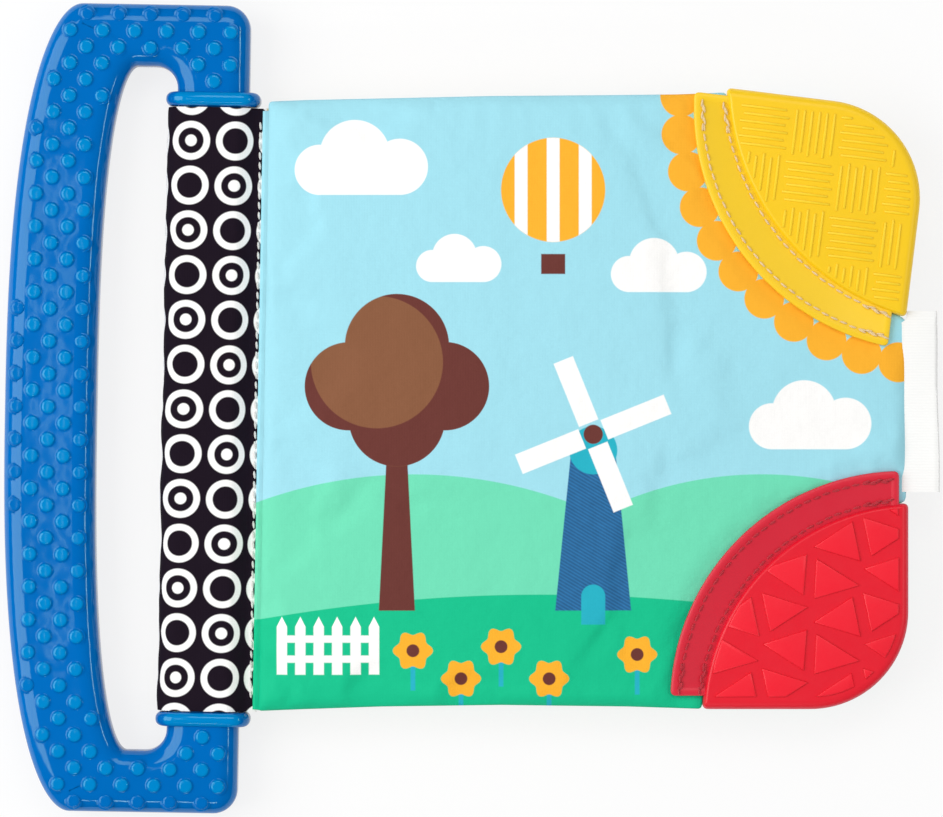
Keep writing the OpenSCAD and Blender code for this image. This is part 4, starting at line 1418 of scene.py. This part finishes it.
class BOOK_OT_corners(BookStep):
    """Moulds the two chewable corners and sews their flanges to the front cover"""

    bl_idname = "book.corners"
    bl_label = "Chewable corners"

    def build(self, colours):
        def painted_light_tint(name, *more):
            return (*(min(1.0, max(0.0, c + k)) for c, k in zip(colours[name], more)), 1.0)

        # Each corner's raised colour is a painted highlight, and its flange colour is a painted reflection.
        jobs = (
            ("yellow", YELLOW, weave_ridges, "yellow_rubber",
             painted_light_tint("yellow_rubber", 0, 0.07, 0.02), painted_light_tint("yellow_rubber", 0, 0.015, 0.01),
             "peach_thread", "orange_thread"),
            ("red", RED, raised_triangles, "red_rubber",
             painted_light_tint("red_rubber", 0.12, 0.004, 0.006), painted_light_tint("red_rubber", -0.1, 0.012, 0.02),
             "crimson_thread", "crimson_thread"),
        )
        for name, corner, relief, slot, raised, flange, thread, thread_slot in jobs:
            parts = corner_solid(corner) + both_faces(relief(corner))
            teether = joined(f"{name}_corner", parts)
            self.settle(teether, corner)
            smooth(teether, 35)
            dressed(teether, rubber(f"{name} rubber", colours[slot], raised, flange), "front_cover", slot,
                    f"{name}_corner_teether")
            places = []
            for centre, radius, shift in (
                (corner.flange_c, corner.flange_r, -2.3), (corner.body_c, corner.body_r, 0.9)
            ):
                places += stitch_row(corner, centre, radius, shift, COVER_HALF)
            row = copies("row", bead(STITCH_L, STITCH_W, size("thread") * 1.4), places)
            stitches = joined(f"{name}_corner_stitches", both_faces(row))
            self.settle(stitches, corner)
            smooth(stitches)
            dressed(stitches, thread_finish(f"{name} thread", colours[thread]), "front_cover", thread_slot,
                    f"{name}_corner_thread")

    def settle(self, obj, corner):
        """From the corner's own frame to the cover's corner."""
        def change(points):
            out = points.copy()
            out[:, :2] = block(corner.place(points[:, :2]))
            out[:, 2] += FRONT_MID
            return out

        moved(obj, change)
        if corner.flip < 0:
            turned_out(obj)


# LABEL


class BOOK_OT_label(BookStep):
    """Folds the bare label into the hem of the free edge"""

    bl_idname = "book.label"
    bl_label = "Label"

    def build(self, colours):
        low, high = LABEL_ENDS
        fold = 0.28
        section = np.concatenate([[(0, -fold)], arc((9, 0), fold, -90, 90, 8), [(0, fold)]])

        def place(u, v):
            flat = along_line(section, u)
            y = low + (high - low) * v
            hem = np.where(y > 21.8, 109.0, 107.5)
            outer = 117.1 - 0.7 * v + 0.12 * np.sin(v * 9)
            share = flat[:, 0] / (9 + fold)
            lift = 0.5 * share**2 * np.sin(v * 5.0 + 0.6)
            z = FRONT_MID + flat[:, 1] * (1 + share) + lift
            return np.stack([hem + (outer - hem) * share, y, z], axis=1)

        label = grid("folded_label", 40, 46, place)
        apply_modifier(label, "SOLIDIFY", thickness=0.16 * MM, offset=0)
        smooth(label, 60)
        finish = Finish("label satin", Roughness=0.42, Sheen_Weight=0.2)
        where = finish.place()
        x, y, _ = finish.parts(where)
        ribs = ((y * 9.0).math("SINE")) * 0.5 + 0.5
        # Painted shade: the label is painted darker along its outer fold.
        rim = finish.edge(115.9 - x, 0.8)
        colour = finish.tinted(colours["label"], ribs * 0.5 + finish.noise(where, 0.2) * 0.5, 0.95)
        finish.set(Base_Color=finish.tinted(colour, 1 - rim, 0.93))
        finish.bump(ribs * 0.2 + finish.noise(where, 0.1, 2.0), 0.15, 1.0)
        dressed(label, finish, "front_cover", "label_satin", "side_label")


# STAGE


class BOOK_OT_stage(BookStep):
    """Lays a white floor, hangs soft lamps and looks straight down"""

    bl_idname = "book.stage"
    bl_label = "Stage"

    def build(self, colours):
        clear()
        bpy.ops.mesh.primitive_plane_add(size=6, location=(0, 0, 0))
        floor = named("floor")
        moved(floor, lambda p: p - (0, 0, 0.3))
        white = Finish("floor white", Roughness=0.9, Base_Color=(0.9, 0.9, 0.9, 1))
        glow = white.node("Emission", None, Color=(1, 1, 1, 1), Strength=1.0)
        seen = white.node("LightPath").outputs["Is Camera Ray"]
        shine = white.node("LightPath").outputs["Is Glossy Ray"]
        share = Field(white, seen) * 0.8 + Field(white, shine) * 0.5
        mixed = white.node("MixShader", None, s0=share)
        white.tree.links.new(white.shader.outputs[0], mixed.inputs[1])
        white.tree.links.new(glow.outputs[0], mixed.inputs[2])
        white.tree.links.new(mixed.outputs[0], white.tree.nodes["Material Output"].inputs[0])
        floor.data.materials.append(white.material)

        world = bpy.data.worlds.new("room")
        bpy.context.scene.world = world
        world.use_nodes = True
        tree = world.node_tree
        tree.nodes["Background"].inputs["Color"].default_value = (1, 1, 1, 1)
        tree.nodes["Background"].inputs["Strength"].default_value = 0.5
        world.cycles_visibility.glossy = False
        self.lamp("window left", (-0.62, 0.06, 0.6), (0.74, 0.7), 5.0)
        self.lamp("strip right", (0.75, 0.03, 0.6), (0.46, 0.06), 0.8)
        self.lamp("window above", (0.1, 0.62, 1.0), (0.6, 0.4), 2.0)
        self.lamp("strip front", (-0.05, -0.75, 0.6), (0.3, 0.05), 0.5)
        self.lamp("strip grip", (-0.1497, 0.0, 0.52), (0.0058, 0.19), 0.012)

        data = bpy.data.cameras.new("camera")
        data.sensor_width = 36
        data.lens = 36 * 1.1 / 0.23575
        data.clip_start = 0.01
        camera = bpy.data.objects.new("camera", data)
        camera.location = (0.00012, -0.00006, 1.114)
        bpy.context.scene.collection.objects.link(camera)
        bpy.context.scene.camera = camera
        bpy.context.scene.view_settings.view_transform = "Standard"

    def lamp(self, name, place, sides, watts):
        data = bpy.data.lights.new(name, "AREA")
        data.shape = "RECTANGLE"
        data.size, data.size_y = sides
        data.energy = watts
        lamp = bpy.data.objects.new(name, data)
        lamp.location = place
        aim = Vector((0, 0, 0.01)) if sides[0] > 0.1 else Vector((place[0], place[1], 0))
        lamp.rotation_euler = (aim - Vector(place)).to_track_quat("-Z", "Y").to_euler()
        bpy.context.scene.collection.objects.link(lamp)


STEPS = (BOOK_OT_stage, BOOK_OT_handle, BOOK_OT_sleeve, BOOK_OT_covers, BOOK_OT_corners, BOOK_OT_label)


class BOOK_PT_panel(bpy.types.Panel):
    """The book's sizes, colours and steps"""

    bl_idname = "BOOK_PT_panel"
    bl_label = "Teether Book"
    bl_space_type = "VIEW_3D"
    bl_region_type = "UI"
    bl_category = "Teether Book"

    def draw(self, context):
        for group in (context.scene.book_sizes, context.scene.book_colours):
            column = self.layout.column(align=True)
            for name in group.bl_rna.properties.keys():
                if name in type(group).__annotations__:
                    column.prop(group, name)
        for step in STEPS:
            self.layout.operator(step.bl_idname)


CLASSES = (BookColours, BookSizes, *STEPS, BOOK_PT_panel)


def register():
    for kind in CLASSES:
        bpy.utils.register_class(kind)
    bpy.types.Scene.book_colours = bpy.props.PointerProperty(type=BookColours)
    bpy.types.Scene.book_sizes = bpy.props.PointerProperty(type=BookSizes)


def unregister():
    del bpy.types.Scene.book_sizes
    del bpy.types.Scene.book_colours
    for kind in reversed(CLASSES):
        bpy.utils.unregister_class(kind)


def main():
    register()
    bpy.ops.book.stage()
    bpy.ops.book.handle()
    bpy.ops.book.sleeve()
    bpy.ops.book.covers()
    bpy.ops.book.corners()
    bpy.ops.book.label()


if __name__ == "__main__":
    main()
